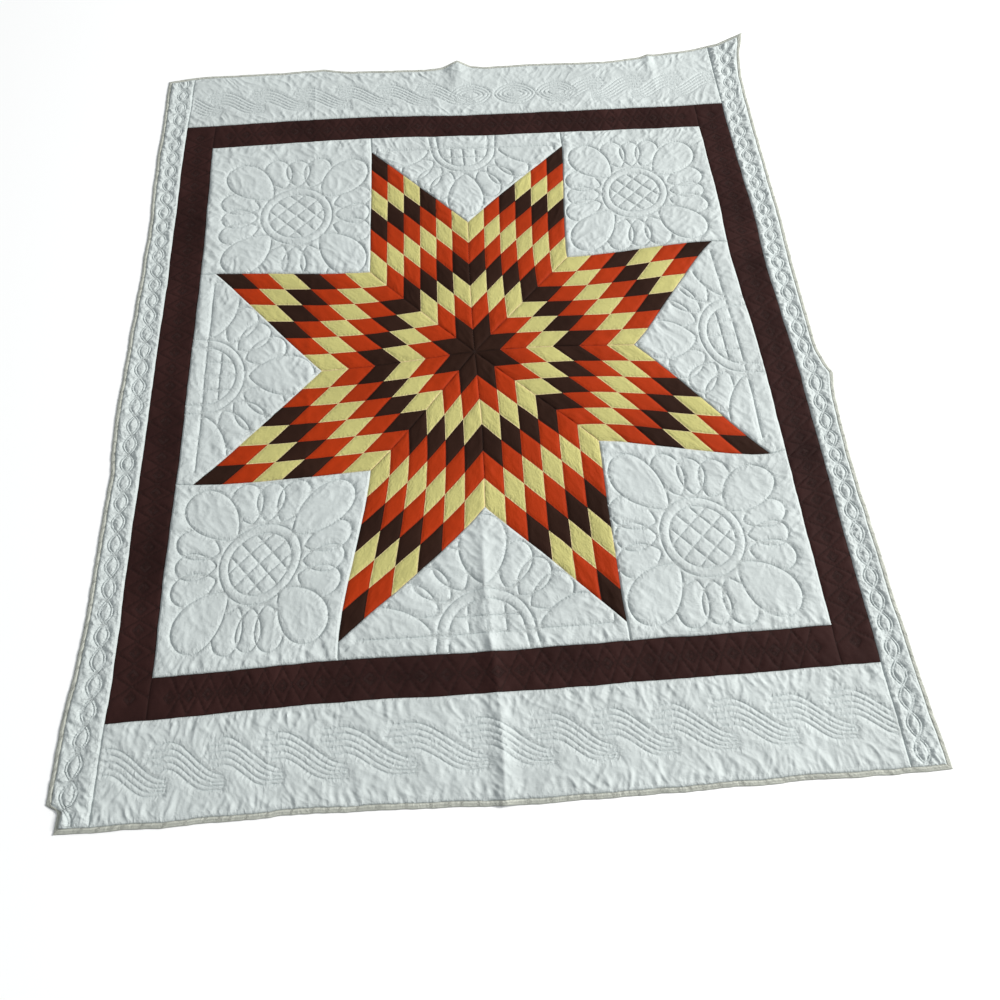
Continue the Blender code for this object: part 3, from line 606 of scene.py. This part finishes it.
def fill_mesh(mesh, points, loops, counts, slots):
    """Puts whole arrays of points and faces into a mesh."""
    mesh.vertices.add(len(points))
    mesh.vertices.foreach_set("co", points.astype(np.float32).ravel())
    mesh.loops.add(len(loops))
    mesh.loops.foreach_set("vertex_index", loops.astype(np.int32))
    mesh.polygons.add(len(counts))
    mesh.polygons.foreach_set("loop_start", (np.cumsum(counts) - counts).astype(np.int32))
    mesh.polygons.foreach_set("material_index", slots.astype(np.int32))
    mesh.update(calc_edges=True)


def add_attribute(mesh, name, values):
    """Point attribute of three numbers that the cloth's material reads."""
    data = mesh.attributes.new(name, "FLOAT_VECTOR", "POINT").data
    data.foreach_set("vector", values.astype(np.float32).ravel())


def slab(name, plan, outline, lines, cloths, keep=None, cell_cloth=None, puckered=1.0, puff=1.0,
         top=None, grain=None, snap=0.0):
    """Closed panel: a lattice of plan points under the relief on top, every second one underneath, and a
    wall between. Points within half a step of a stitched line are moved onto it, so that it stays sharp."""
    nu, nv = plan.shape[:2]
    keep = np.ones((nu, nv), bool) if keep is None else keep
    grain = plan if grain is None else grain
    cell_cloth = np.zeros((nu - 1, nv - 1), int) if cell_cloth is None else cell_cloth
    u, v = plan[1, 0] - plan[0, 0], plan[-1, 1] - plan[-1, 0]
    if u[0] * v[1] - u[1] * v[0] < 0:
        plan, keep, cell_cloth, grain = plan[:, ::-1], keep[:, ::-1], cell_cloth[:, ::-1], grain[:, ::-1]
    flat = np.array(plan.reshape(-1, 2), float)
    edge = [np.vstack((outline, outline[:1]))]
    reach, along, foot = nearest(flat, list(lines) + edge)
    edge_reach, edge_along, _ = nearest(flat, edge)
    close = (reach < snap) & (edge_reach > 1.2 * snap)
    flat[close] = foot[close]
    reach[close] = 0.0

    tris, cells = lattice_faces(keep, reach.reshape(nu, nv))
    sides = np.vstack((tris[:, [0, 1]], tris[:, [1, 2]], tris[:, [2, 0]]))
    code = sides[:, 0].astype(np.int64) * keep.size + sides[:, 1]
    back = sides[:, 1].astype(np.int64) * keep.size + sides[:, 0]
    alone = ~np.isin(code, back)
    bound = sides[alone]
    rim = np.zeros(keep.size, bool)
    rim[bound.ravel()] = True
    low_loops, low_counts = coarse_faces(keep, rim.reshape(nu, nv))

    under = lift(flat)
    if top is None:
        high = under + doubled(flat) + creases(flat)
        high += top_height(flat, reach, along, edge_reach, edge_along, puckered, puff)
    else:
        high = under + top
    under = under + 0.0007 * np.exp(-reach / SEAM_REACH)
    place = lay(flat)
    used_low = np.zeros(keep.size, bool)
    used_low[low_loops] = True
    high_id = np.cumsum(keep.ravel()) - 1
    low_id = np.cumsum(used_low) - 1 + keep.sum()
    above, below = np.column_stack((place, high)), np.column_stack((place, under))
    points = np.vstack((above[keep.ravel()], below[used_low]))
    first, last = bound.T
    walls = np.stack((high_id[last], high_id[first], low_id[first], low_id[last]), 1)
    loops = np.concatenate((high_id[tris].ravel(), walls.ravel(), low_id[low_loops]))
    counts = np.concatenate((np.full(len(tris), 3), np.full(len(walls), 4), low_counts))
    patch = cell_cloth.ravel()[cells]
    slots = np.concatenate((patch, np.tile(patch, 3)[alone], np.full(len(low_counts), len(cloths))))

    mesh = bpy.data.meshes.new(name)
    fill_mesh(mesh, points, loops, counts, slots)
    grain = grain.reshape(-1, 2)
    drawn = np.vstack((grain[keep.ravel()], grain[used_low]))
    add_attribute(mesh, "pattern", np.column_stack((drawn, np.full(len(drawn), puckered))))
    far = np.stack((reach, along, edge_reach), 1)
    add_attribute(mesh, "stitch", np.vstack((far[keep.ravel()], far[used_low])))
    for cloth in list(cloths) + ["backing"]:
        mesh.materials.append(cotton(cloth))
    mesh.shade_smooth()
    mesh.set_sharp_from_angle(angle=math.radians(SHARP_DEGREES))
    piece = bpy.data.objects.new(name + "_cloth", mesh)
    bpy.context.scene.collection.objects.link(piece)
    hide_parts(name)
    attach(piece, "root")
    return piece


def math_node(tree, kind, a, b=None, clamp=False):
    """Math node on sockets or numbers; gives its output."""
    node = tree.nodes.new("ShaderNodeMath")
    node.operation = kind
    node.use_clamp = clamp
    for slot, value in zip(node.inputs, (a, b)):
        if value is None:
            continue
        if isinstance(value, (int, float)):
            slot.default_value = value
        else:
            tree.links.new(value, slot)
    return node.outputs[0]


def times(tree, a, b):
    """Product of two sockets or numbers."""
    return math_node(tree, "MULTIPLY", a, b)


def plus(tree, first, *others):
    """Sum of sockets or numbers."""
    for other in others:
        first = math_node(tree, "ADD", first, other)
    return first


def map_range(tree, value, low, high, to_low, to_high):
    """Number taken from one range to another, held at its ends."""
    node = tree.nodes.new("ShaderNodeMapRange")
    tree.links.new(value, node.inputs["Value"])
    for name, number in (("From Min", low), ("From Max", high), ("To Min", to_low), ("To Max", to_high)):
        node.inputs[name].default_value = number
    return node.outputs["Result"]


def noise_node(tree, where, scale, detail):
    """Noise texture's number at a scale in cycles a metre."""
    node = tree.nodes.new("ShaderNodeTexNoise")
    tree.links.new(where, node.inputs["Vector"])
    node.inputs["Scale"].default_value = scale
    node.inputs["Detail"].default_value = detail
    return node.outputs["Fac"]


def mix_colour(tree, kind, amount, a, b):
    """Mix of two colours, each a socket or a colour; gives its output."""
    node = tree.nodes.new("ShaderNodeMix")
    node.data_type = "RGBA"
    node.blend_type = kind
    for slot, value in ((node.inputs["Factor"], amount), (node.inputs[6], a), (node.inputs[7], b)):
        if isinstance(value, (int, float)):
            slot.default_value = value
        elif isinstance(value, tuple):
            slot.default_value = (*value, 1.0)
        else:
            tree.links.new(value, slot)
    return node.outputs[2]


def ridges(tree, where, scale, sharp):
    """Sharp random ridges from 0 to 1: one less the distance of a noise from its middle, squared."""
    away = math_node(tree, "ABSOLUTE", math_node(tree, "SUBTRACT", noise_node(tree, where, scale, 1.0), 0.5))
    ridge = math_node(tree, "SUBTRACT", 1.0, times(tree, away, sharp), clamp=True)
    return times(tree, ridge, ridge)


# Cloth in the material: scales in cycles a metre and heights in metres
SLUB_SCALE = 420.0
TONE_SCALE = 7.0
FINE_CREASES = ((72.0, 0.0007), (155.0, 0.0003))
FINE_GATHERS = (105.0, 0.0005)
WEAVE_HEIGHT = 0.00003
SLUB_HEIGHT = 0.00006
THREAD_HEIGHT = 0.00025
THREAD_HALF = 0.00035
DASH = 0.55
ALLOWANCE_HEIGHT = 0.0005

# Each cotton: roughness, sheen, specular, variation of colour, the colour painted along its seams and
# stitched lines as their shade (on yellow a lighter painted highlight), how strong that painted colour is,
# and how deep its fine creases are
COTTONS = {
    "white": (0.62, 0.08, 0.20, 0.08, (0.42, 0.47, 0.47), 0.50, 1.0),
    "brown": (0.70, 0.00, 0.06, 0.40, (0.010, 0.005, 0.004), 0.60, 0.9),
    "star_brown": (0.70, 0.00, 0.05, 0.30, (0.008, 0.005, 0.004), 0.50, 0.9),
    "rust": (0.66, 0.02, 0.10, 0.12, (0.20, 0.014, 0.002), 0.70, 1.1),
    # On yellow the seam colour is lighter than the cloth: a painted highlight where its seams catch the light
    "yellow": (0.62, 0.05, 0.15, 0.10, (0.72, 0.55, 0.33), 0.80, 2.6),
    "binding": (0.66, 0.06, 0.15, 0.20, (0.19, 0.195, 0.175), 0.55, 1.0),
    "backing": (0.70, 0.08, 0.15, 0.10, (0.44, 0.46, 0.44), 0.50, 1.0),
}


def attribute(tree, name):
    """A mesh attribute, as a vector and as its three numbers."""
    node = tree.nodes.new("ShaderNodeAttribute")
    node.attribute_name = name
    parts = tree.nodes.new("ShaderNodeSeparateXYZ")
    tree.links.new(node.outputs["Vector"], parts.inputs[0])
    return node.outputs["Vector"], tuple(parts.outputs)


def dashes(tree, reach, along, pitch):
    """One on the stitches: less than half a thread from the line, for a share of each stitch's length."""
    phase = math_node(tree, "FRACT", math_node(tree, "DIVIDE", along, pitch))
    dash = math_node(tree, "LESS_THAN", phase, DASH)
    return times(tree, dash, math_node(tree, "LESS_THAN", reach, THREAD_HALF))


def cloth_colour(tree, cloth, where, reach, slub, thread):
    """The cotton's colour times a noise, with painted shade mixed in near the seams and stitched lines (a
    painted highlight on yellow), and lighter on the thread.
    """
    varied, painted_seam_colour, painted_seam_strength = COTTONS[cloth][3:6]
    colour = tuple(getattr(bpy.context.scene.quilt_cloth, cloth))
    tone = plus(tree, times(tree, noise_node(tree, where, TONE_SCALE, 4.0), 0.7), times(tree, slub, 0.3))
    tone = map_range(tree, tone, 0.30, 0.70, 1 - varied, 1 + varied)
    scaled = tree.nodes.new("ShaderNodeVectorMath")
    scaled.operation = "SCALE"
    scaled.inputs[0].default_value = colour
    tree.links.new(tone, scaled.inputs["Scale"])
    # Painted shade in the grooves: near a seam or stitched line the colour is mixed towards the painted seam
    # colour of the cotton, which on yellow is lighter, a painted highlight
    shade = map_range(tree, reach, 0.0003, 0.0022, painted_seam_strength, 0.0)
    pieced = mix_colour(tree, "MIX", shade, scaled.outputs[0], painted_seam_colour)
    lit = tuple(min(1.0, c * 1.35 + 0.01) for c in colour)
    return mix_colour(tree, "MIX", times(tree, thread, 0.6), pieced, lit)


def cloth_height(tree, cloth, where, cross, stitch, slub, thread):
    """Two crossed sine waves of thread, slubs, fine creases near the stitching, gathers that run out from
    it, the stitches, and on white cloth the seam allowance below."""
    reach, along, edge = stitch
    waves = 2 * math.pi / bpy.context.scene.quilt_cloth.thread
    weave = times(tree, *(math_node(tree, "SINE", times(tree, cross[i], waves)) for i in (0, 1)))
    deep = COTTONS[cloth][6]
    fine = (times(tree, ridges(tree, where, scale, 4.0), height * deep) for scale, height in FINE_CREASES)
    folds = plus(tree, *fine)
    folds = times(tree, times(tree, folds, map_range(tree, reach, 0.003, 0.018, 1.0, 0.30)), cross[2])
    runs = tree.nodes.new("ShaderNodeCombineXYZ")
    tree.links.new(along, runs.inputs[0])
    tree.links.new(times(tree, reach, 0.22), runs.inputs[1])
    scale, height = FINE_GATHERS
    gathers = times(tree, ridges(tree, runs.outputs[0], scale, 3.0), height)
    gathers = times(tree, gathers, map_range(tree, reach, 0.001, 0.013, 1.0, 0.0))
    total = plus(tree, times(tree, weave, WEAVE_HEIGHT), times(tree, slub, SLUB_HEIGHT), folds,
                 times(tree, gathers, cross[2]), times(tree, thread, THREAD_HEIGHT))
    if cloth == "white":
        total = plus(tree, total, map_range(tree, edge, 0.0055, 0.0080, ALLOWANCE_HEIGHT, 0.0))
    return total


def cotton(cloth):
    """Woven cotton, read from the pattern that the cloth was cut to and from its stitched lines."""
    made = bpy.data.materials.get("woven_" + cloth)
    if made:
        return made
    roughness, sheen, specular = COTTONS[cloth][:3]
    made = bpy.data.materials.new("woven_" + cloth)
    made.use_nodes = True
    tree = made.node_tree
    shader = tree.nodes["Principled BSDF"]
    where, cross = attribute(tree, "pattern")
    stitch = attribute(tree, "stitch")[1]
    slub = noise_node(tree, where, SLUB_SCALE, 3.0)
    thread = dashes(tree, stitch[0], stitch[1], bpy.context.scene.quilt_cloth.stitch)
    colour = cloth_colour(tree, cloth, where, stitch[0], slub, thread)
    tree.links.new(colour, shader.inputs["Base Color"])

    bump = tree.nodes.new("ShaderNodeBump")
    bump.inputs["Strength"].default_value = 1.0
    bump.inputs["Distance"].default_value = 1.0
    height = cloth_height(tree, cloth, where, cross, stitch, slub, thread)
    tree.links.new(height, bump.inputs["Height"])
    tree.links.new(bump.outputs["Normal"], shader.inputs["Normal"])
    rough = map_range(tree, slub, 0.2, 0.8, roughness - 0.06, roughness + 0.08)
    tree.links.new(rough, shader.inputs["Roughness"])
    shader.inputs["Sheen Weight"].default_value = sheen
    shader.inputs["Sheen Roughness"].default_value = 0.45
    shader.inputs["Specular IOR Level"].default_value = specular
    return made


def rectangle(x0, x1, y0, y1):
    """Closed corners of a rectangle, anticlockwise."""
    return np.array(((x0, y0), (x1, y0), (x1, y1), (x0, y1)))


def grid(x0, x1, y0, y1, coarser=1.0):
    """Even lattice over a rectangle, drawn in by half a gap; coarser widens its step."""
    step = relief().lattice * coarser
    x = np.linspace(x0 + GAP / 2, x1 - GAP / 2, even(x1 - x0, step) + 1)
    y = np.linspace(y0 + GAP / 2, y1 - GAP / 2, even(y1 - y0, step) + 1)
    return np.stack(np.meshgrid(x, y, indexing="ij"), -1)


class QUILT_OT_star_points(bpy.types.Operator):
    """Eight points of the star, each of 36 puffed diamonds in three cottons"""

    bl_idname = "quilt.star_points"
    bl_label = "Star points"

    def execute(self, context):
        cell = SIDE / DIAMONDS
        per = even(cell, relief().lattice * 1.45)
        steps = np.linspace(0, DIAMONDS, DIAMONDS * per + 1)
        steps[0] += GAP / (2 * cell * math.sin(math.radians(45)))
        steps[-1] -= steps[0]
        i, j = np.meshgrid(steps, steps, indexing="ij")
        ring = (np.arange(DIAMONDS * per) // per)
        cell_cloth = np.array(ROW_CLOTHS)[ring[:, None] + ring[None, :]]
        marks = np.arange(DIAMONDS + 1)
        for k in range(8):
            a, b = polar(cell, 45 * k), polar(cell, 45 * k + 45)
            plan = i[..., None] * a + j[..., None] * b
            outline = np.array((0 * a, DIAMONDS * a, DIAMONDS * (a + b), DIAMONDS * b))
            lines = [m * a + marks[:, None] * b for m in marks[1:-1]]
            lines += [marks[:, None] * a + m * b for m in marks[1:-1]]
            grain = np.stack((i * cell + 0.37 * j * cell, j * cell * 0.93), -1) + k * 0.71
            piece = slab(f"star_point_{k + 1}", plan, outline, lines, ("star_brown", "rust", "yellow"),
                         cell_cloth=cell_cloth, puckered=0.50, puff=0.60, grain=grain)
            long, short = (2 * SIDE * f(math.radians(22.5)) for f in (math.cos, math.sin))
        return {"FINISHED"}


class QUILT_OT_corner_squares(bpy.types.Operator):
    """Four white corner squares with the ring, petals and lobes"""

    bl_idname = "quilt.corner_squares"
    bl_label = "Corner squares"

    def execute(self, context):
        corners = (("head_right", 1, 1), ("head_left", -1, 1), ("foot_left", -1, -1), ("foot_right", 1, -1))
        for name, sx, sy in corners:
            far_y = FIELD_HEAD if sy > 0 else -FIELD_FOOT
            x0, x1 = sorted((sx * HALF_SQUARE, sx * FIELD_X))
            y0, y1 = sorted((sy * HALF_SQUARE, sy * far_y))
            outline = rectangle(x0, x1, y0, y1)
            bearings = (45, 135, 225, 315), (0, 90, 180, 270)
            lines = clip(rosette(SQUARE_MIDDLES[name], bearings[0], SQUARE_PETAL, bearings[1], 45), outline)
            piece = slab(f"field_square_{name}", grid(x0, x1, y0, y1), outline, lines, ("white",),
                         snap=0.45 * relief().lattice)
        return {"FINISHED"}


class QUILT_OT_side_triangles(bpy.types.Operator):
    """Four white side triangles with half the stencil on a base line"""

    bl_idname = "quilt.side_triangles"
    bl_label = "Side triangles"

    def execute(self, context):
        for name, (bearing, far, base_in, shift) in SIDE_TRIANGLES.items():
            count = even(HALF_SQUARE, relief().lattice)
            tip = SIDE + HALF_SQUARE
            inner = np.linspace(SIDE, tip, count + 1)
            strip = even(far - tip, relief().lattice)
            x = np.concatenate((inner, np.linspace(tip, far - GAP / 2, strip + 1)[1:]))
            y = np.linspace(-HALF_SQUARE, HALF_SQUARE, 2 * count + 1)
            rows = np.abs(np.arange(2 * count + 1) - count)
            keep = rows[None, :] <= np.arange(len(x))[:, None]
            plan = np.stack(np.meshgrid(x, y, indexing="ij"), -1)
            plan[..., 0] += GAP * 0.7 * np.clip(1 - (plan[..., 0] - SIDE) / 0.3, 0, 1)
            plan[..., 1] *= 1 - GAP / 2 / HALF_SQUARE
            plan = turn(plan.reshape(-1, 2), bearing).reshape(plan.shape)
            half = HALF_SQUARE
            stops = ((SIDE, 0), (tip, -half), (far, -half), (far, half), (tip, half))
            outline = turn(stops, bearing)
            base = far - base_in
            petals = (180, 90 + BASE_TILT, 270 - BASE_TILT)
            lobes = (135 + BASE_TILT / 2, 225 - BASE_TILT / 2)
            half = rosette((base, shift), petals, SIDE_PETAL, lobes, 0)
            half = clip(half, rectangle(0, base + 0.0005, -SIDE, SIDE), 0.0)
            across = np.linspace(-BASE_HALF, BASE_HALF, 60)
            half.append(np.stack((np.full(60, base), across), 1))
            for ring in (RING_OUTER, RING_INNER):
                half += [np.array(((base, shift + s * ring), (far - 0.003, shift + s * ring * 1.05)))
                         for s in (-1, 1)]
            lines = clip([turn(line, bearing) for line in half], outline)
            piece = slab(f"field_triangle_{name}", plan, outline, lines, ("white",), keep=keep,
                         snap=0.45 * relief().lattice)
        return {"FINISHED"}


class QUILT_OT_dark_frame(bpy.types.Operator):
    """Dark inner border: head and foot strips between two full-length sides"""

    bl_idname = "quilt.dark_frame"
    bl_label = "Dark frame"

    def execute(self, context):
        strips = (
            ("head", -FIELD_X, FIELD_X, FIELD_HEAD, FRAME_HEAD),
            ("foot", -FIELD_X, FIELD_X, FRAME_FOOT, FIELD_FOOT),
            ("right", FIELD_X, FRAME_X, FRAME_FOOT, FRAME_HEAD),
            ("left", -FRAME_X, -FIELD_X, FRAME_FOOT, FRAME_HEAD),
        )
        for name, x0, x1, y0, y1 in strips:
            outline = rectangle(x0, x1, y0, y1)
            if name in ("head", "foot"):
                lines = chevrons(x0, x1, (y0 + y1) / 2, (y1 - y0) / 2 - 0.004)
            else:
                lines = [line[:, ::-1] for line in chevrons(y0, y1, (x0 + x1) / 2, (x1 - x0) / 2 - 0.004)]
            piece = slab(f"frame_{name}", grid(x0, x1, y0, y1, 1.12), outline, clip(lines, outline),
                         ("brown",), puckered=0.40, puff=0.45, snap=0.5 * relief().lattice)
        return {"FINISHED"}


def edge_ripple(places, seed):
    """Small unevenness of an outer edge, in metres."""
    line = np.stack((places, np.full(len(places), 0.5 + seed)), 1)
    return 0.0011 * noise(line, 0.060, seed) + 0.0005 * noise(line, 0.019, seed + 1)


def hem(side, places, share=1.0):
    """Points across the binding along a side: share 0 is its outer edge and 1 its inner edge."""
    table, column, inward = SIDES[side]
    across = on_edge(table, places, column) + inward * BINDING * share
    across = across + edge_ripple(places, 50 + 3 * list(SIDES).index(side))
    pair = (places, across) if column == 0 else (across, places)
    return np.stack(pair, 1)


def hem_corners():
    """Corners of the binding's inner edge, where neighbouring edges meet."""
    left_head_y, left_foot_y, right_foot_y, ear_in = CORNER_AT
    head_left, foot_left = (on_edge(LEFT_EDGE, y, 1) + BINDING for y in (left_head_y, left_foot_y))
    foot_right = on_edge(RIGHT_EDGE, right_foot_y, 1) - BINDING
    xs = {"head": (head_left, EAR_TIP[0] - ear_in), "foot": (foot_left, foot_right)}
    return {(end, side): hem(end, np.array((xs[end][i],)))[0]
            for end in ("head", "foot") for i, side in enumerate(("left", "right"))}


HEM_CORNERS = hem_corners()


def pulled(line, first, last, over=0.03):
    """Line whose ends are drawn to two points, fading out over a length."""
    away = np.hypot(*(line - line[0]).T), np.hypot(*(line - line[-1]).T)
    line = line + np.clip(1 - away[0] / over, 0, 1)[:, None] * (first - line[0])
    return line + np.clip(1 - away[1] / over, 0, 1)[:, None] * (last - line[-1])


class QUILT_OT_white_borders(bpy.types.Operator):
    """White outer border with its twisted and interlaced cables"""

    bl_idname = "quilt.white_borders"
    bl_label = "White borders"

    def execute(self, context):
        step = relief().lattice * 0.86
        across_x = np.linspace(-FRAME_X + GAP / 2, FRAME_X - GAP / 2, even(2 * FRAME_X, step) + 1)
        for name, seam_y in (("head", FRAME_HEAD), ("foot", FRAME_FOOT)):
            out = 1 if name == "head" else -1
            edge = hem(name, across_x)
            start = np.stack((across_x, np.full(len(across_x), seam_y + out * GAP / 2)), 1)
            part = np.linspace(0, 1, even(0.21, step) + 1)[None, :, None]
            plan = start[:, None] * (1 - part) + (edge - (0, out * GAP / 2))[:, None] * part
            outline = np.vstack((start[::60], start[-1:], edge[::-1][::6], edge[:1]))
            pull = 0.85 if name == "head" else 1.1
            if name == "head":
                first, last, second, stop = HEAD_STRANDS
                lines = rope(HEAD_CREST, first, last, 1) + rope(HEAD_CREST, second, stop, -1) + ovals()
            else:
                lines = rope(FOOT_CREST, *FOOT_STRANDS, 1)
            piece = slab(f"border_{name}", plan, outline, clip(lines, outline, 0.004), ("white",),
                         puckered=pull, puff=0.75, snap=0.45 * step)
        for name, sign in (("right", 1), ("left", -1)):
            self.side_border(name, sign, 0.8 * step)
        return {"FINISHED"}

    def side_border(self, name, sign, step):
        """Coons patch between the dark frame, the head and foot hems and the outer hem."""
        inner_x = np.array((sign * (FRAME_X + GAP / 2),))
        low_in, high_in = hem("foot", inner_x)[0], hem("head", inner_x)[0]
        low_out, high_out = HEM_CORNERS["foot", name], HEM_CORNERS["head", name]
        b = np.linspace(0, 1, even(BORDER_LONG, step) + 1)
        a = np.linspace(0, 1, even(0.082, step) + 1)
        inner = low_in + b[:, None] * (high_in - low_in)
        outer = pulled(hem(name, low_out[1] + b * (high_out[1] - low_out[1])), low_out, high_out)
        foot = pulled(hem("foot", low_in[0] + a * (low_out[0] - low_in[0])), low_in, low_out)
        head = pulled(hem("head", high_in[0] + a * (high_out[0] - high_in[0])), high_in, high_out)
        a, b = a[:, None, None], b[None, :, None]
        plan = ((1 - a) * inner[None] + a * outer[None] + (1 - b) * foot[:, None] + b * head[:, None]
                - (1 - a) * (1 - b) * low_in - a * (1 - b) * low_out
                - (1 - a) * b * high_in - a * b * high_out)
        outline = np.vstack((inner[:1], foot[1:], outer[1::6], head[::-1], inner[:1]))
        piece = slab(f"border_{name}", plan, outline, clip(eyes(sign), outline, 0.003), ("white",),
                     puckered=1.4, puff=0.75, snap=0.45 * step)


class QUILT_OT_edge_binding(bpy.types.Operator):
    """Narrow folded binding round the edge, mitred at the corners"""

    bl_idname = "quilt.edge_binding"
    bl_label = "Edge binding"

    def execute(self, context):
        ends = {"head": (("head", "left"), ("head", "right")), "foot": (("foot", "left"), ("foot", "right")),
                "left": (("foot", "left"), ("head", "left")), "right": (("foot", "right"), ("head", "right"))}
        share = np.linspace(0, 1, 9)
        r = relief()
        for side, (table, column, _) in SIDES.items():
            first, last = (HEM_CORNERS[key] for key in ends[side])
            rows = sorted(table, key=lambda row: row[column])
            count = even(abs(last[column] - first[column]), r.lattice)
            part = np.linspace(0, 1, count + 1)
            inner = pulled(hem(side, first[column] + part * (last[column] - first[column])), first, last)
            outer_places = rows[0][column] + part * (rows[-1][column] - rows[0][column])
            outer = pulled(hem(side, outer_places, 0.0), np.array(rows[0]), np.array(rows[-1]))
            narrow = GAP / 2 / BINDING + (1 - GAP / BINDING) * share[None, :, None]
            plan = inner[:, None] * (1 - narrow) + outer[:, None] * narrow
            run = part * 2.1
            pinch = np.abs(noise(np.stack((run, run * 0 + column), 1), 0.036, 70 + column)) < 0.045
            roll = np.sin(math.pi * share) ** 0.55 * ROLL - VALLEY * np.exp(-((share - 0.5) / 0.09) ** 2)
            edge = np.interp(share, (0.5, 1.0), HEM_EDGES)
            top = (edge + roll)[None, :] * (1 - 0.16 * pinch[:, None])
            places = np.stack(np.meshgrid(run, share * 0.02, indexing="ij"), -1)
            top = top + 0.0005 * noise(places.reshape(-1, 2), 0.014, 73).reshape(top.shape)
            outline = np.vstack((inner[::4], outer[::-1][::4]))
            grain = np.stack(np.meshgrid(run, share * BINDING, indexing="ij"), -1)
            flip = self.turned(plan)
            # The material darkens the binding along these lines: painted shade at its inner seam and in its
            # middle fold, and dark ticks across it
            lines = [inner[::3], (inner[::3] + outer[::3]) / 2]
            ticks = range(1, count // TICK_EVERY)
            lines += [plan[int(TICK_EVERY * (k + 0.35 * math.sin(7.3 * k)))] for k in ticks]
            piece = slab(f"binding_{side}", plan, outline, lines, ("binding",), grain=grain,
                         top=(top[:, ::-1] if flip else top).ravel())
        return {"FINISHED"}

    def turned(self, plan):
        """True where the lattice runs clockwise, as slab() tests it."""
        u, v = plan[1, 0] - plan[0, 0], plan[-1, 1] - plan[-1, 0]
        return u[0] * v[1] - u[1] * v[0] < 0


class QUILT_OT_stage(bpy.types.Operator):
    """Pale floor, a large soft lamp beyond the head end, soft light all round, and the camera"""

    bl_idname = "quilt.stage"
    bl_label = "Floor, lamps and camera"

    def execute(self, context):
        settings = context.scene.quilt_stage
        mesh = bpy.data.meshes.new("floor")
        size = FLOOR_HALF
        corners = np.column_stack((rectangle(-size, size, -size, size), np.full(4, -FLOOR_DROP)))
        fill_mesh(mesh, corners, np.arange(4), np.array((4,)), np.array((0,)))
        paint = bpy.data.materials.new("floor_paint")
        paint.use_nodes = True
        shader = paint.node_tree.nodes["Principled BSDF"]
        shader.inputs["Base Color"].default_value = (*settings.floor, 1.0)
        shader.inputs["Roughness"].default_value = 0.85
        mesh.materials.append(paint)
        floor = bpy.data.objects.new("floor", mesh)
        context.scene.collection.objects.link(floor)

        context.scene.view_settings.view_transform = "Standard"
        self.lamp(context, settings.key)
        world = bpy.data.worlds.new("studio")
        world.use_nodes = True
        sky = world.node_tree.nodes["Background"]
        sky.inputs["Color"].default_value = (0.93, 0.97, 1.0, 1.0)
        sky.inputs["Strength"].default_value = settings.fill
        context.scene.world = world

        forward, right = Vector(CAMERA_FORWARD), Vector(CAMERA_RIGHT)
        up = right.cross(forward)
        data = bpy.data.cameras.new("camera")
        data.sensor_width = CAMERA_SENSOR
        data.lens = CAMERA_LENS
        data.shift_y = CAMERA_SHIFT
        data.clip_end = 50.0
        camera = bpy.data.objects.new("camera", data)
        turned = Matrix((right, up, -forward)).transposed().to_4x4()
        camera.matrix_world = Matrix.Translation(CAMERA_AT) @ turned
        context.scene.collection.objects.link(camera)
        context.scene.camera = camera
        return {"FINISHED"}

    def lamp(self, context, power):
        """Square area lamp that faces the quilt's middle."""
        data = bpy.data.lights.new("window", "AREA")
        data.size = LAMP_SIZE
        data.energy = power
        data.color = (1.0, 0.985, 0.96)
        lamp = bpy.data.objects.new("window", data)
        lamp.location = LAMP_AT
        lamp.rotation_euler = (-Vector(LAMP_AT)).to_track_quat("-Z", "Y").to_euler()
        context.scene.collection.objects.link(lamp)


PIECES = (QUILT_OT_star_points, QUILT_OT_corner_squares, QUILT_OT_side_triangles, QUILT_OT_dark_frame,
          QUILT_OT_white_borders, QUILT_OT_edge_binding, QUILT_OT_stage)


class QUILT_PT_panel(bpy.types.Panel):
    """Lists the quilt's settings and the steps that build it"""

    bl_label = "Star quilt"
    bl_idname = "QUILT_PT_panel"
    bl_space_type = "VIEW_3D"
    bl_region_type = "UI"
    bl_category = "Quilt"

    def draw(self, context):
        for group in SETTINGS:
            box = self.layout.box()
            for name in SETTINGS[group].__annotations__:
                box.prop(getattr(context.scene, group), name)
        for piece in PIECES:
            self.layout.operator(piece.bl_idname)


SETTINGS = {"quilt_relief": QuiltRelief, "quilt_cloth": QuiltCloth, "quilt_stage": QuiltStage}
CLASSES = tuple(SETTINGS.values()) + PIECES + (QUILT_PT_panel,)


def register():
    """Adds the classes and the scene's settings."""
    for cls in CLASSES:
        bpy.utils.register_class(cls)
    for name, group in SETTINGS.items():
        setattr(bpy.types.Scene, name, PointerProperty(type=group))


def unregister():
    """Removes them again."""
    for name in SETTINGS:
        delattr(bpy.types.Scene, name)
    for cls in reversed(CLASSES):
        bpy.utils.unregister_class(cls)


def main():
    """Registers the classes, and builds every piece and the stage."""
    register()
    bpy.ops.quilt.star_points()
    bpy.ops.quilt.corner_squares()
    bpy.ops.quilt.side_triangles()
    bpy.ops.quilt.dark_frame()
    bpy.ops.quilt.white_borders()
    bpy.ops.quilt.edge_binding()
    bpy.ops.quilt.stage()


if __name__ == "__main__":
    main()
